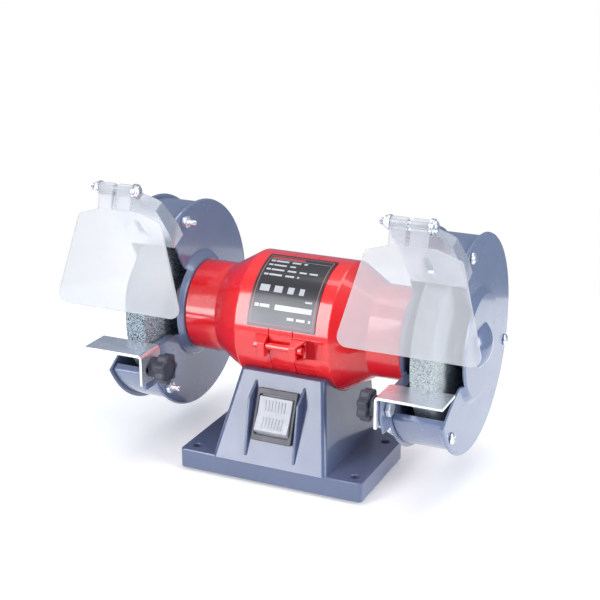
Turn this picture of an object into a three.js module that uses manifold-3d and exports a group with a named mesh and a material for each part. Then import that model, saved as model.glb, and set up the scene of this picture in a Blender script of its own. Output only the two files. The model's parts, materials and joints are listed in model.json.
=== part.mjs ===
// A small two-wheel bench grinder, in millimetres.
// X runs along the spindle from left to right, Y to the back and Z up.
// The origin is on the bench, below the middle of the spindle.
import * as THREE from "three";
import { mergeVertices } from "three/addons/utils/BufferGeometryUtils.js";
import Module from "manifold-3d";

const wasm = await Module();
wasm.setup();

// ---------------------------------------------------------------- driving dimensions

const GAP = 0.3; // between pieces that touch on the real machine
const AXIS_Z = 106; // spindle height above the bench
const WHEEL_X = 110; // middle of each wheel from the middle of the machine
const WHEEL_RADIUS = 62.5;
const WHEEL_WIDTH = 16;
const WHEEL_BORE = 6.35;

const FOOT_HEIGHT = 2; // how far the feet hold the base off the bench
const BASE_WALL = 2.5;
const PLINTH = { half: 71.7, front: -69, sideEnd: 9.7, rearArcCentre: -68, top: 17, corner: 3 };
const PEDESTAL = { top: 78, cavityTop: 70, corner: 0.09 }; // corner as a share of the half width
const PEDESTAL_FOOT = { half: 44.7, front: -69, rear: 28 };
const PEDESTAL_HEAD = { half: 33, front: -45, rear: 42 };
const BOLT_HOLES = [
  [62.5, -59],
  [61.4, 3.8],
];
const BOLT_HOLE_RADIUS = 3;
const FEET = { front: [61.5, -42], rear: [48, 17] };
const FOOT_PAD = { radius: 8, tall: 1.65 };
const BOTTOM_SHEET = 1.5;
const BOTTOM_PANEL = { half: 38, front: -50, back: 8, pressed: 0.3 }; // stiffens the bottom plate
const WIRE_HOLE = 8; // radius, for the leads up to the motor
const MOTOR_SCREW = { x: 28, shank: 2.2, hole: 2.5, head: 4 };
const CAPACITOR = { radius: 12, half: 22, y: 8, z: 19 };
const TERMINALS = { half: 20, y: [-36, -24], z: [5, 15] };

const MOTOR_RADIUS = 47.6;
const MOTOR_WALL = 3;
const SEAM_X = 9.3; // where the end bells meet the stator band
const SHOULDER_X = 36.7; // end of the full diameter
const NECK_X = 59.3; // end of the cone
const NECK_RADIUS = 34;
const BELL_END_X = 84.3;
const CORE_HALF = 20;
const CORE_RADIUS = MOTOR_RADIUS - MOTOR_WALL - GAP;
const ROTOR_RADIUS = 24.5;
const ROTOR_SHAFT = 8;
const SHAFT_RADIUS = 6;
const BEARING = { radius: 16, inner: 70.5, outer: 80.5 };
// Each bolt lug is 5 mm wide at its front and spreads to the barrel.
const LUG = { inner: 9.5, face: 14.5, outer: 20, front: 55, recess: 5 };
const LUG_EDGES = { top: 2, frontTop: -2.4, bottom: -12.5 }; // the top slopes down to the front
const THROUGH_BOLT = { radius: 2.4, head: 2.8, at: 50.8, z: -5.2 };

const FLANGE = { inner: 12.5, outer: 12.2 }; // backs of the wheel flanges, from the wheel's middle
const SPINDLE_NUT = { radius: 10.8, from: 12.5, to: 20.5 };

const SHEET = 1.5; // sheet steel of the guards and brackets
const INNER_FACE = -19.5; // guard faces, measured outward from the wheel's middle
const COVER_FACE = 19.6;
const GUARD_RADIUS = 79;
const BAND_RADIUS = 76;
const COVER_SCREWS = { radius: 72, angles: [73, -44, -164], shank: 2, head: 4.2, nut: 4.5 };

const BRACKET_LEAN = 26.3; // degrees that the bracket plate leans forward
const BRACKET_FOOT = [-40, 54]; // y and z of the plate's lower edge, from the spindle
const HINGE_UP = 50.8; // from the plate's lower edge to the shield's pivot
const ADJUST_BOLT_UP = 8.9;
const SLOT_SLANT = 15;
const SLOT_TRAVEL = { down: 3, up: 12 };
const BRACKET_BOLT = { radius: 2, head: 4.4, nut: 3.9, hole: 2.4, slot: 2.5 };
const PIVOT = { radius: 2.4, knuckle: 4.4, nut: 4.4, nutTall: 2.4, end: -30.5 };

const REST = { inner: -21.8, outer: 25.5, front: -91, back: -65, top: -12, legFoot: -35, sheet: 2 };
const REST_BOLT = { y: -76, z: -25, radius: 3, head: 5.5, end: -33 };

const RED = 0xe0141c;
const PAINT = 0x8a93ad;
const ZINC = 0xc9ced6;
const STEEL = 0x9a9da3;
const BLACK = 0x26272b;
const RUBBER = 0x1b1b1d;

// ---------------------------------------------------------------- geometry helpers

const radians = THREE.MathUtils.degToRad;

// The same closed mesh with only its positions, its shared vertices merged and its faces pointing out.
function outward(geometry) {
  const bare = new THREE.BufferGeometry();
  bare.setAttribute("position", geometry.getAttribute("position"));
  if (geometry.index) bare.setIndex(geometry.index);
  const merged = mergeVertices(bare, 1e-4);
  const points = merged.getAttribute("position");
  const corner = (i) => new THREE.Vector3().fromBufferAttribute(points, merged.index.getX(i));
  let volume = 0;
  for (let i = 0; i < merged.index.count; i += 3) {
    volume += corner(i).dot(corner(i + 1).cross(corner(i + 2))) / 6;
  }
  if (volume < 0) merged.index.array.reverse();
  merged.computeVertexNormals();
  return merged;
}

function toSolid(geometry) {
  const closed = outward(geometry);
  const vertProperties = closed.getAttribute("position").array;
  const triVerts = new Uint32Array(closed.index.array);
  return new wasm.Manifold(new wasm.Mesh({ numProp: 3, vertProperties, triVerts }));
}

function toGeometry(solid) {
  const { vertProperties, triVerts } = solid.getMesh();
  const geometry = new THREE.BufferGeometry();
  geometry.setAttribute("position", new THREE.BufferAttribute(vertProperties, 3));
  geometry.setIndex(new THREE.BufferAttribute(triVerts, 1));
  geometry.computeVertexNormals();
  return geometry;
}

function join(...geometries) {
  return toGeometry(geometries.map(toSolid).reduce((all, next) => all.add(next)));
}

function cut(geometry, ...tools) {
  return toGeometry(tools.map(toSolid).reduce((left, tool) => left.subtract(tool), toSolid(geometry)));
}

function common(one, other) {
  return toGeometry(toSolid(one).intersect(toSolid(other)));
}

function block([x0, x1], [y0, y1], [z0, z1]) {
  const sizes = [Math.abs(x1 - x0), Math.abs(y1 - y0), Math.abs(z1 - z0)];
  return new THREE.BoxGeometry(...sizes).translate((x0 + x1) / 2, (y0 + y1) / 2, (z0 + z1) / 2);
}

// How many flats stand for a full circle of this radius.
function flats(radius) {
  if (radius > 60) return 36;
  if (radius > 30) return 28;
  if (radius > 10) return 18;
  return radius > 5 ? 14 : 8;
}

// A turning about the X axis, from the [x, radius] points of its closed section.
function turned(points, segments = flats(Math.max(...points.map(([, radius]) => radius)))) {
  const section = points.map(([x, radius]) => new THREE.Vector2(radius, x));
  if (points.every(([, radius]) => radius > 0)) section.push(section[0].clone());
  return outward(new THREE.LatheGeometry(section, segments).rotateZ(-Math.PI / 2));
}

// A round bar along X at the given y and z.
function bar(radius, [x0, x1], [y, z] = [0, 0], segments = flats(radius)) {
  return new THREE.CylinderGeometry(radius, radius, Math.abs(x1 - x0), segments)
    .rotateX(Math.PI / 2)
    .rotateY(Math.PI / 2)
    .translate((x0 + x1) / 2, y, z);
}

// A round bar along Z at the given x and y.
function post(radius, [z0, z1], [x, y] = [0, 0], segments = flats(radius)) {
  return new THREE.CylinderGeometry(radius, radius, Math.abs(z1 - z0), segments)
    .rotateX(Math.PI / 2)
    .translate(x, y, (z0 + z1) / 2);
}

// A closed outline from [u, v, corner radius] points; a radius of 0 leaves the corner sharp.
function outline(corners) {
  const shape = new THREE.Shape();
  corners.forEach(([u, v, radius = 0], i) => {
    const corner = new THREE.Vector2(u, v);
    const toward = (j) => {
      const [pu, pv] = corners[(j + corners.length) % corners.length];
      return new THREE.Vector2(pu, pv).sub(corner).setLength(radius).add(corner);
    };
    const start = radius ? toward(i - 1) : corner;
    if (i === 0) shape.moveTo(start.x, start.y);
    else shape.lineTo(start.x, start.y);
    if (radius) {
      const end = toward(i + 1);
      shape.quadraticCurveTo(u, v, end.x, end.y);
    }
  });
  shape.closePath();
  return shape;
}

function extrude(shape, depth, curveSegments = 4) {
  return new THREE.ExtrudeGeometry(shape, { depth, bevelEnabled: false, curveSegments });
}

// An outline drawn in y and z, extruded along X from x0 to x1.
function alongX(shape, [x0, x1], curveSegments) {
  const turn = new THREE.Matrix4().makeBasis(
    new THREE.Vector3(0, 1, 0),
    new THREE.Vector3(0, 0, 1),
    new THREE.Vector3(1, 0, 0),
  );
  return extrude(shape, Math.abs(x1 - x0), curveSegments)
    .applyMatrix4(turn)
    .translate(Math.min(x0, x1), 0, 0);
}

// An outline drawn in x and y, extruded along Z from z0 to z1.
function alongZ(shape, [z0, z1], curveSegments) {
  return extrude(shape, z1 - z0, curveSegments).translate(0, 0, z0);
}

// The y and z of a point at a radius and at an angle in degrees above straight ahead.
function ahead(radius, angle) {
  return [-radius * Math.cos(radians(angle)), radius * Math.sin(radians(angle))];
}

// ---------------------------------------------------------------- scene graph helpers

const grinder = new THREE.Group();
grinder.name = "bench_grinder";

function piece(parent, name, geometry, color, roughness = 0.5, metalness = 0) {
  const material = new THREE.MeshStandardMaterial({ color, roughness, metalness });
  const mesh = new THREE.Mesh(geometry, material);
  mesh.name = name;
  parent.add(mesh);
  return mesh;
}

function groupAt(parent, x, y, z, turnX = 0) {
  const group = new THREE.Group();
  group.position.set(x, y, z);
  group.rotation.x = turnX;
  parent.add(group);
  return group;
}

// ---------------------------------------------------------------- base

// The D-shaped plan of the plinth: square at the front, an arc at the back.
function plinthPlan(inset = 0) {
  const half = PLINTH.half - inset;
  const front = PLINTH.front + inset;
  const end = PLINTH.sideEnd;
  const corner = Math.max(PLINTH.corner - inset, 0.5);
  const rise = end - PLINTH.rearArcCentre;
  const shape = new THREE.Shape();
  shape.moveTo(-half, end);
  shape.lineTo(-half, front + corner);
  shape.quadraticCurveTo(-half, front, -half + corner, front);
  shape.lineTo(half - corner, front);
  shape.quadraticCurveTo(half, front, half, front + corner);
  shape.lineTo(half, end);
  const start = Math.atan2(rise, half);
  shape.absarc(0, PLINTH.rearArcCentre, Math.hypot(half, rise), start, Math.PI - start, false);
  return shape;
}

// The pedestal: a rounded rectangle that narrows and moves back as it rises.
function pedestalBlock(inset, bottom, top) {
  const unit = outline([
    [-1, -1, PEDESTAL.corner],
    [1, -1, PEDESTAL.corner],
    [1, 1, PEDESTAL.corner],
    [-1, 1, PEDESTAL.corner],
  ]);
  const geometry = alongZ(unit, [bottom, top], 3);
  const position = geometry.getAttribute("position");
  for (let i = 0; i < position.count; i++) {
    const z = position.getZ(i);
    const rise = (z - PLINTH.top) / (PEDESTAL.top - PLINTH.top);
    const mix = (key) => THREE.MathUtils.lerp(PEDESTAL_FOOT[key], PEDESTAL_HEAD[key], rise);
    const middle = (mix("front") + mix("rear")) / 2;
    const deep = (mix("rear") - mix("front")) / 2 - inset;
    position.setXY(i, position.getX(i) * (mix("half") - inset), middle + position.getY(i) * deep);
  }
  return geometry;
}

const FRONT_SLOPE = (PEDESTAL_HEAD.front - PEDESTAL_FOOT.front) / (PEDESTAL.top - PLINTH.top);
const FRONT_LEAN = Math.atan(FRONT_SLOPE);
const REAR_SLOPE = (PEDESTAL_HEAD.rear - PEDESTAL_FOOT.rear) / (PEDESTAL.top - PLINTH.top);
const frontY = (z) => PEDESTAL_FOOT.front + FRONT_SLOPE * (z - PLINTH.top);
const rearY = (z) => PEDESTAL_FOOT.rear + REAR_SLOPE * (z - PLINTH.top);

const GLAND = { x: 22, z: 30, radius: 5 };
const SWITCH_Z = 50; // middle of the switch on the sloping front
const SWITCH = { half: 15.75, tall: 19, proud: 2.8, bodyHalf: 14.2, bodyTall: 16.5, deep: 16 };
const ROCKER = { half: 13, radius: 14, pivot: -2, crown: 5, valley: 3.6 };

// A guard fin beside the switch: a thin blade that is tallest near its top.
function switchFin(x) {
  const [top, peak, foot] = [72, 63, 21];
  const blade = outline([
    [frontY(top) + 1.5, top],
    [frontY(top), top],
    [frontY(peak) - 9, peak],
    [frontY(foot) - 1, foot],
    [frontY(foot) + 1.5, foot],
  ]);
  return alongX(blade, [x - 1, x + 1]);
}

function switchWindow(base) {
  const hole = block(
    [-SWITCH.bodyHalf - GAP, SWITCH.bodyHalf + GAP],
    [-SWITCH.bodyTall - GAP, SWITCH.bodyTall + GAP],
    [-8, 8],
  );
  hole.rotateX(Math.PI / 2 - FRONT_LEAN).translate(0, frontY(SWITCH_Z), SWITCH_Z);
  return cut(base, hole);
}

function baseHousing() {
  const holes = BOLT_HOLES.flatMap(([x, y]) => [
    [x, y],
    [-x, y],
  ]);
  const ceiling = PLINTH.top - BASE_WALL;
  const plinth = cut(
    alongZ(plinthPlan(), [FOOT_HEIGHT, PLINTH.top], 8),
    alongZ(plinthPlan(BASE_WALL), [0, ceiling], 8),
  );
  const bosses = holes.map((at) => post(BOLT_HOLE_RADIUS + 3, [4, ceiling + 1], at));
  const fins = [-19, 19].map(switchFin);
  const outside = join(plinth, pedestalBlock(0, PLINTH.top - 1, PEDESTAL.top), ...bosses, ...fins);
  const cradle = MOTOR_RADIUS + GAP;
  const cavity = cut(
    pedestalBlock(BASE_WALL, ceiling - 1, PEDESTAL.cavityTop),
    bar(cradle + BASE_WALL, [-60, 60], [0, AXIS_Z]),
  );
  const hollow = cut(
    outside,
    bar(cradle, [-60, 60], [0, AXIS_Z]),
    cavity,
    post(WIRE_HOLE, [40, PEDESTAL.cavityTop]),
    ...[-1, 1].map((end) => post(MOTOR_SCREW.hole, [40, PEDESTAL.cavityTop], [end * MOTOR_SCREW.x, 0])),
    ...holes.map((at) => post(BOLT_HOLE_RADIUS, [0, 20], at)),
    bar(GLAND.radius + GAP, [-10, 10], [0, 0])
      .rotateZ(Math.PI / 2)
      .translate(GLAND.x, rearY(GLAND.z), GLAND.z),
  );
  return switchWindow(hollow);
}

// The sheet that closes the base, with a flat panel pressed a little down from its middle.
function bottomPlate() {
  const plate = alongZ(plinthPlan(BASE_WALL + GAP), [FOOT_HEIGHT, FOOT_HEIGHT + BOTTOM_SHEET], 8);
  const panel = block(
    [-BOTTOM_PANEL.half, BOTTOM_PANEL.half],
    [BOTTOM_PANEL.front, BOTTOM_PANEL.back],
    [FOOT_HEIGHT - BOTTOM_PANEL.pressed, FOOT_HEIGHT + 1],
  );
  const holes = BOLT_HOLES.flatMap(([x, y]) => [
    post(BOLT_HOLE_RADIUS + 0.5, [0, 6], [x, y]),
    post(BOLT_HOLE_RADIUS + 0.5, [0, 6], [-x, y]),
  ]);
  return cut(join(plate, panel), ...holes);
}

function foot() {
  return post(FOOT_PAD.radius, [0, FOOT_PAD.tall], [0, 0], 16);
}

// The switch is built in the plane of the sloping front: x across, y up the slope, z outwards.
function switchBezel() {
  const flange = block([-SWITCH.half, SWITCH.half], [-SWITCH.tall, SWITCH.tall], [GAP, SWITCH.proud]);
  const body = block(
    [-SWITCH.bodyHalf, SWITCH.bodyHalf],
    [-SWITCH.bodyTall, SWITCH.bodyTall],
    [-SWITCH.deep, GAP + 0.5],
  );
  const pocket = block(
    [-ROCKER.half - 0.4, ROCKER.half + 0.4],
    [-ROCKER.radius - 0.5, ROCKER.radius + 0.5],
    [-12, 6],
  );
  return cut(join(flange, body), pocket);
}

function switchRocker() {
  const half = Math.sqrt(ROCKER.radius ** 2 - (ROCKER.crown - ROCKER.pivot) ** 2);
  const start = Math.atan2(ROCKER.crown - ROCKER.pivot, half);
  const side = new THREE.Shape();
  side.moveTo(-9, -7);
  side.lineTo(9, -7);
  side.lineTo(ROCKER.radius, ROCKER.pivot);
  side.absarc(0, ROCKER.pivot, ROCKER.radius, 0, start, false);
  side.lineTo(0, ROCKER.valley);
  side.absarc(0, ROCKER.pivot, ROCKER.radius, Math.PI - start, Math.PI, false);
  side.closePath();
  return alongX(side, [-ROCKER.half, ROCKER.half], 4).translate(0, 0, -ROCKER.pivot);
}

function cordGland() {
  const body = turned([
    [-6, 3],
    [-6, GLAND.radius],
    [GAP + 0.6, GLAND.radius],
    [GAP + 0.6, 8],
    [3, 8],
    [4, 7],
    [12, 5],
    [12, 3],
  ]);
  return body.rotateZ(Math.PI / 2);
}

function buildBase() {
  const base = groupAt(grinder, 0, 0, 0);
  piece(base, "base_housing", baseHousing(), PAINT, 0.35);
  piece(base, "bottom_plate", bottomPlate(), STEEL, 0.5, 0.6);
  for (const [end, [x, y]] of Object.entries(FEET)) {
    piece(base, `foot_${end}_left`, foot(), RUBBER, 0.9).position.set(-x, y, 0);
    piece(base, `foot_${end}_right`, foot(), RUBBER, 0.9).position.set(x, y, 0);
  }
  const front = groupAt(base, 0, frontY(SWITCH_Z), SWITCH_Z, Math.PI / 2 - FRONT_LEAN);
  piece(front, "switch_bezel", switchBezel(), 0x5f5f69, 0.5);
  const rocker = piece(front, "switch_rocker", switchRocker(), 0xd2d7e6, 0.3);
  rocker.position.z = ROCKER.pivot;
  rocker.rotation.x = radians(-7);
  piece(base, "cord_gland", cordGland(), BLACK, 0.7).position.set(GLAND.x, rearY(GLAND.z) + 1.5, GLAND.z);
  const capacitor = bar(CAPACITOR.radius, [-CAPACITOR.half, CAPACITOR.half], [CAPACITOR.y, CAPACITOR.z]);
  piece(base, "run_capacitor", capacitor, 0xd8d8d4, 0.5);
  const terminals = block([-TERMINALS.half, TERMINALS.half], TERMINALS.y, TERMINALS.z);
  piece(base, "terminal_block", terminals, 0xe8e6df, 0.6);
}

// ---------------------------------------------------------------- motor

// A lug for a through bolt, on the front (side -1) or the back (side 1) of an end bell.
function boltLug(side, end) {
  const root = MOTOR_RADIUS - 4;
  const plan = [
    [LUG.inner, root],
    [LUG.inner, LUG.front],
    [LUG.face, LUG.front],
    [LUG.outer, MOTOR_RADIUS],
    [LUG.outer, root],
  ];
  const profile = [
    [root, LUG_EDGES.top],
    [MOTOR_RADIUS, LUG_EDGES.top],
    [LUG.front, LUG_EDGES.frontTop],
    [LUG.front, LUG_EDGES.bottom],
    [root, LUG_EDGES.bottom],
  ];
  const pocket = [
    [MOTOR_RADIUS + 0.2, LUG_EDGES.top - 1.4],
    [LUG.front - 1.2, LUG_EDGES.frontTop - 1],
    [LUG.front - 1.2, LUG_EDGES.bottom + 1.4],
    [MOTOR_RADIUS + 0.2, LUG_EDGES.bottom + 1.4],
  ];
  const seenFromAbove = outline(plan.map(([x, y]) => [end * x, side * y]));
  const seenFromTheEnd = (points) => outline(points.map(([y, z]) => [side * y, z]));
  const outside = [end * (LUG.inner - 1), end * (LUG.outer + 1)];
  const lug = common(
    alongZ(seenFromAbove, [LUG_EDGES.bottom - 1, LUG_EDGES.top + 1]),
    alongX(seenFromTheEnd(profile), outside),
  );
  return cut(lug, alongX(seenFromTheEnd(pocket), [end * (LUG.outer - LUG.recess), outside[1]]));
}

function endBell(end) {
  const seat = { inner: BEARING.inner - 0.5, radius: BEARING.radius + GAP };
  const wall = MOTOR_WALL;
  const section = [
    [SEAM_X + 0.15, MOTOR_RADIUS],
    [SHOULDER_X, MOTOR_RADIUS],
    [NECK_X, NECK_RADIUS],
    [BELL_END_X, NECK_RADIUS],
    [BELL_END_X, 9],
    [BELL_END_X - wall, 9],
    [BELL_END_X - wall, seat.radius],
    [seat.inner, seat.radius],
    [seat.inner, seat.radius + 3],
    [BELL_END_X - wall, seat.radius + 3],
    [BELL_END_X - wall, NECK_RADIUS - wall],
    [NECK_X - 1, NECK_RADIUS - wall],
    [SHOULDER_X - 1, MOTOR_RADIUS - wall],
    [SEAM_X + 0.15, MOTOR_RADIUS - wall],
  ];
  const shell = turned(section.map(([x, radius]) => [end * x, radius]));
  const stator = bar(MOTOR_RADIUS + GAP, [0, end * (SEAM_X + 0.15)], [0, 0]);
  const inside = bar(MOTOR_RADIUS - 1, [0, end * 40], [0, 0]);
  const lugs = [-1, 1].map((side) => cut(boltLug(side, end), stator, inside));
  const bolts = [-1, 1].map((side) =>
    bar(THROUGH_BOLT.radius + GAP, [-30, 30], [side * THROUGH_BOLT.at, THROUGH_BOLT.z]),
  );
  return cut(
    join(shell, ...lugs),
    ...bolts,
    post(MOTOR_SCREW.hole, [-52, -40], [end * MOTOR_SCREW.x, 0]),
  );
}

const SLOTS = 6;
const SLOT = { inner: 27, outer: 38, width: 12 };

function slotPrisms(clearance, half) {
  const height = SLOT.outer - SLOT.inner - 2 * clearance;
  const width = SLOT.width - 2 * clearance;
  return Array.from({ length: SLOTS }, (_, i) =>
    new THREE.BoxGeometry(2 * half, width, height)
      .translate(0, 0, (SLOT.inner + SLOT.outer) / 2)
      .rotateX(((i + 0.5) * 2 * Math.PI) / SLOTS),
  );
}

function statorCore() {
  const body = turned([
    [-CORE_HALF, ROTOR_RADIUS + 0.5],
    [-CORE_HALF, CORE_RADIUS],
    [-SEAM_X + 0.15, CORE_RADIUS],
    [-SEAM_X + 0.15, MOTOR_RADIUS],
    [SEAM_X - 0.15, MOTOR_RADIUS],
    [SEAM_X - 0.15, CORE_RADIUS],
    [CORE_HALF, CORE_RADIUS],
    [CORE_HALF, ROTOR_RADIUS + 0.5],
  ]);
  return cut(body, ...slotPrisms(0, CORE_HALF + 1));
}

function statorWinding() {
  const ring = (end) =>
    turned([
      [end * (CORE_HALF + GAP), SLOT.inner + GAP],
      [end * (CORE_HALF + GAP), SLOT.outer - GAP],
      [end * (CORE_HALF + 10), SLOT.outer],
      [end * (CORE_HALF + 10), SLOT.inner + 1.5],
    ]);
  return join(ring(-1), ring(1), ...slotPrisms(GAP, CORE_HALF + 1));
}

function rotor() {
  const bore = ROTOR_SHAFT + GAP;
  return turned([
    [-CORE_HALF - 3, bore],
    [-CORE_HALF - 3, ROTOR_RADIUS - 3],
    [-CORE_HALF, ROTOR_RADIUS],
    [CORE_HALF, ROTOR_RADIUS],
    [CORE_HALF + 3, ROTOR_RADIUS - 3],
    [CORE_HALF + 3, bore],
  ]);
}

const SPINDLE_END = WHEEL_X + 23;

function spindle() {
  const half = [
    [65, ROTOR_SHAFT],
    [65, SHAFT_RADIUS],
    [SPINDLE_END - 1, SHAFT_RADIUS],
    [SPINDLE_END, SHAFT_RADIUS - 1],
    [SPINDLE_END, 0],
  ];
  const mirrored = half.map(([x, radius]) => [-x, radius]).reverse();
  return turned([...mirrored, ...half]);
}

function bearing() {
  const { inner, outer, radius } = BEARING;
  return turned([
    [inner + 1, SHAFT_RADIUS + GAP],
    [inner, 13],
    [inner, radius],
    [outer, radius],
    [outer, 13],
    [outer - 1, SHAFT_RADIUS + GAP],
  ]);
}

// A bolt through the two lugs on one side, with its head and its nut in the lugs' recesses.
function throughBolt(side) {
  const at = [side * THROUGH_BOLT.at, THROUGH_BOLT.z];
  const seat = LUG.outer - LUG.recess + GAP;
  return join(
    bar(THROUGH_BOLT.radius, [-seat - 3, seat + 3], at),
    bar(THROUGH_BOLT.head, [seat, seat + 3.5], at),
    bar(THROUGH_BOLT.head, [-seat, -seat - 3.5], at, 6),
  );
}

const PLATE = { half: 26.4, low: 8.5, high: 84 };

function ratingPlate() {
  const inner = MOTOR_RADIUS + GAP;
  const [from, to] = [Math.PI - radians(PLATE.high), Math.PI - radians(PLATE.low)];
  const shape = new THREE.Shape();
  shape.absarc(0, 0, inner + 0.6, from, to, false);
  shape.absarc(0, 0, inner, to, from, true);
  shape.closePath();
  return alongX(shape, [-PLATE.half, PLATE.half], 12);
}

function motorScrew() {
  const head = -MOTOR_RADIUS - 2 * GAP - BASE_WALL;
  return join(post(MOTOR_SCREW.head, [head - 3, head - 0.1]), post(MOTOR_SCREW.shank, [head - 1, -42]));
}

function buildMotor() {
  const motor = groupAt(grinder, 0, 0, AXIS_Z);
  for (const [name, end] of [
    ["left", -1],
    ["right", 1],
  ]) {
    piece(motor, `end_bell_${name}`, endBell(end), RED, 0.25);
    const race = piece(motor, `bearing_${name}`, bearing(), STEEL, 0.3, 1);
    if (end < 0) race.rotation.z = Math.PI;
    piece(motor, `motor_screw_${name}`, motorScrew(), STEEL, 0.35, 1).position.x = end * MOTOR_SCREW.x;
  }
  piece(motor, "stator_core", statorCore(), RED, 0.25);
  piece(motor, "stator_winding", statorWinding(), 0xb36a35, 0.45, 0.6);
  piece(motor, "rotor", rotor(), STEEL, 0.4, 0.9);
  piece(motor, "spindle", spindle(), STEEL, 0.3, 1);
  piece(motor, "through_bolt_front", throughBolt(-1), RED, 0.3);
  piece(motor, "through_bolt_rear", throughBolt(1), RED, 0.3);
  piece(motor, "rating_plate", ratingPlate(), BLACK, 0.4, 0.3);
}

// ---------------------------------------------------------------- wheels

function grindingWheel() {
  const half = WHEEL_WIDTH / 2;
  const chamfer = 0.8;
  return turned([
    [-half, WHEEL_BORE],
    [-half, WHEEL_RADIUS - chamfer],
    [-half + chamfer, WHEEL_RADIUS],
    [half - chamfer, WHEEL_RADIUS],
    [half, WHEEL_RADIUS - chamfer],
    [half, WHEEL_BORE],
  ]);
}

// A dished clamping flange: its rim presses on the wheel.
function wheelFlange(face, back) {
  const step = Math.sign(back - face);
  return turned([
    [face + step * 1.2, SHAFT_RADIUS + GAP],
    [face + step * 1.2, 14],
    [face, 15],
    [face, 20],
    [back, 18],
    [back, SHAFT_RADIUS + GAP],
  ]);
}

function hexNut(radius, bore, [x0, x1]) {
  return cut(bar(radius, [x0, x1], [0, 0], 6), bar(bore, [x0 - 1, x1 + 1]));
}

function buildWheel(station, name, out) {
  const half = WHEEL_WIDTH / 2 + GAP;
  const colour = out < 0 ? 0x6f7278 : 0xa9afad;
  piece(station, `grinding_wheel_${name}`, grindingWheel(), colour, 0.95);
  piece(station, `inner_flange_${name}`, wheelFlange(-out * half, -out * FLANGE.inner), STEEL, 0.4, 1);
  piece(station, `outer_flange_${name}`, wheelFlange(out * half, out * FLANGE.outer), STEEL, 0.4, 1);
  const nutSpan = [SPINDLE_NUT.from, SPINDLE_NUT.to].map((x) => out * x).sort((a, b) => a - b);
  const nut = hexNut(SPINDLE_NUT.radius, SHAFT_RADIUS + GAP, nutSpan);
  piece(station, `spindle_nut_${name}`, nut, STEEL, 0.35, 1);
}

// ---------------------------------------------------------------- guards

// What is cut from the front of a guard disc, above the given lower edge, around its boss.
function frontCut(bossRadius, lowerEdge) {
  const from = ahead(bossRadius, lowerEdge.bossAngle);
  const upper = 57; // degrees above straight ahead where the edge leaves the boss
  const shape = new THREE.Shape();
  shape.moveTo(-130, 130);
  lowerEdge.points.forEach(([y, z]) => shape.lineTo(y, z));
  shape.lineTo(...from);
  shape.absarc(0, 0, bossRadius, Math.PI - radians(lowerEdge.bossAngle), Math.PI - radians(upper), true);
  shape.lineTo(-33, 52.3);
  shape.lineTo(-31.5, 58);
  shape.lineTo(-26, 60.5);
  shape.lineTo(-27, 67);
  shape.lineTo(-34, 73);
  shape.lineTo(-34, 130);
  shape.closePath();
  return shape;
}

function screwHoles([x0, x1]) {
  return COVER_SCREWS.angles.map((angle) =>
    bar(COVER_SCREWS.shank + GAP, [x0, x1], ahead(COVER_SCREWS.radius, angle)),
  );
}

// The motor-side disc, with its boss and the ear that carries the tool rest.
function guardInner(out) {
  const face = INNER_FACE;
  const bossFace = BELL_END_X + GAP - WHEEL_X;
  const section = [
    [bossFace, 9.5],
    [bossFace, 35.5],
    [face, 40],
    [face, GUARD_RADIUS],
    [face + SHEET, GUARD_RADIUS],
    [face + SHEET, 40.8],
    [bossFace + SHEET, 36.3],
    [bossFace + SHEET, 9.5],
  ];
  const disc = turned(section.map(([x, radius]) => [out * x, radius]));
  const top = REST.top - REST.sheet - 2 * GAP;
  const lowerEdge = { bossAngle: -23, points: [[-130, top]] };
  const removed = alongX(frontCut(38.5, lowerEdge), [out * (face - 8), out * (face + 6)], 7);
  const ear = alongX(
    outline([
      [-48, top],
      [-87, top, 3],
      [-87, -33, 8],
      [-72, -42.5, 8],
      [-48, -42.5],
    ]),
    [out * face, out * (face + SHEET)],
  );
  const shelf = block([out * face, out * (face + 7.5)], [-62, -38], [top - SHEET, top]);
  const through = [out * (face - 2), out * (face + 4)];
  const holes = screwHoles(through);
  const boltHole = bar(REST_BOLT.radius + GAP, through, [REST_BOLT.y, REST_BOLT.z]);
  return cut(join(cut(disc, removed), ear, shelf), ...holes, boltHole);
}

// The outer cover, with a raised boss and a dome over the spindle nut.
function guardCover(out) {
  const [face, boss, dome] = [COVER_FACE, COVER_FACE + 4, COVER_FACE + 11];
  const section = [
    [dome, 0],
    [dome - 0.8, 5.5],
    [dome - 3, 11],
    [boss, 16],
    [boss, 37.5],
    [face, 41.5],
    [face, GUARD_RADIUS],
    [face - SHEET, GUARD_RADIUS],
    [face - SHEET, 42.3],
    [boss - SHEET, 38.3],
    [boss - SHEET, 15.2],
    [dome - 4.2, 10],
    [dome - 2.4, 5],
    [dome - SHEET, 0],
  ];
  const disc = turned(section.map(([x, radius]) => [out * x, radius]));
  const lowerEdge = {
    bossAngle: -29,
    points: [
      [-130, -60],
      [-75, -40.4],
      [-68.5, -36.2],
      [-50, -24.8],
    ],
  };
  const removed = alongX(frontCut(39, lowerEdge), [out * (face - 4), out * (face + 10)], 7);
  return cut(disc, removed, ...screwHoles([out * (face - 4), out * (face + 2)]));
}

// A point of the bracket's plane: up the plate from its foot, and back from its front face.
function onBracket(up, back) {
  const [sin, cos] = [Math.sin(radians(BRACKET_LEAN)), Math.cos(radians(BRACKET_LEAN))];
  return [BRACKET_FOOT[0] - sin * up + cos * back, BRACKET_FOOT[1] + cos * up + sin * back];
}

const BAND = { lowerEnd: -29, upperEnd: 64, lip: 70, tabTop: 16.5, tabFoot: 1 };

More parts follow.
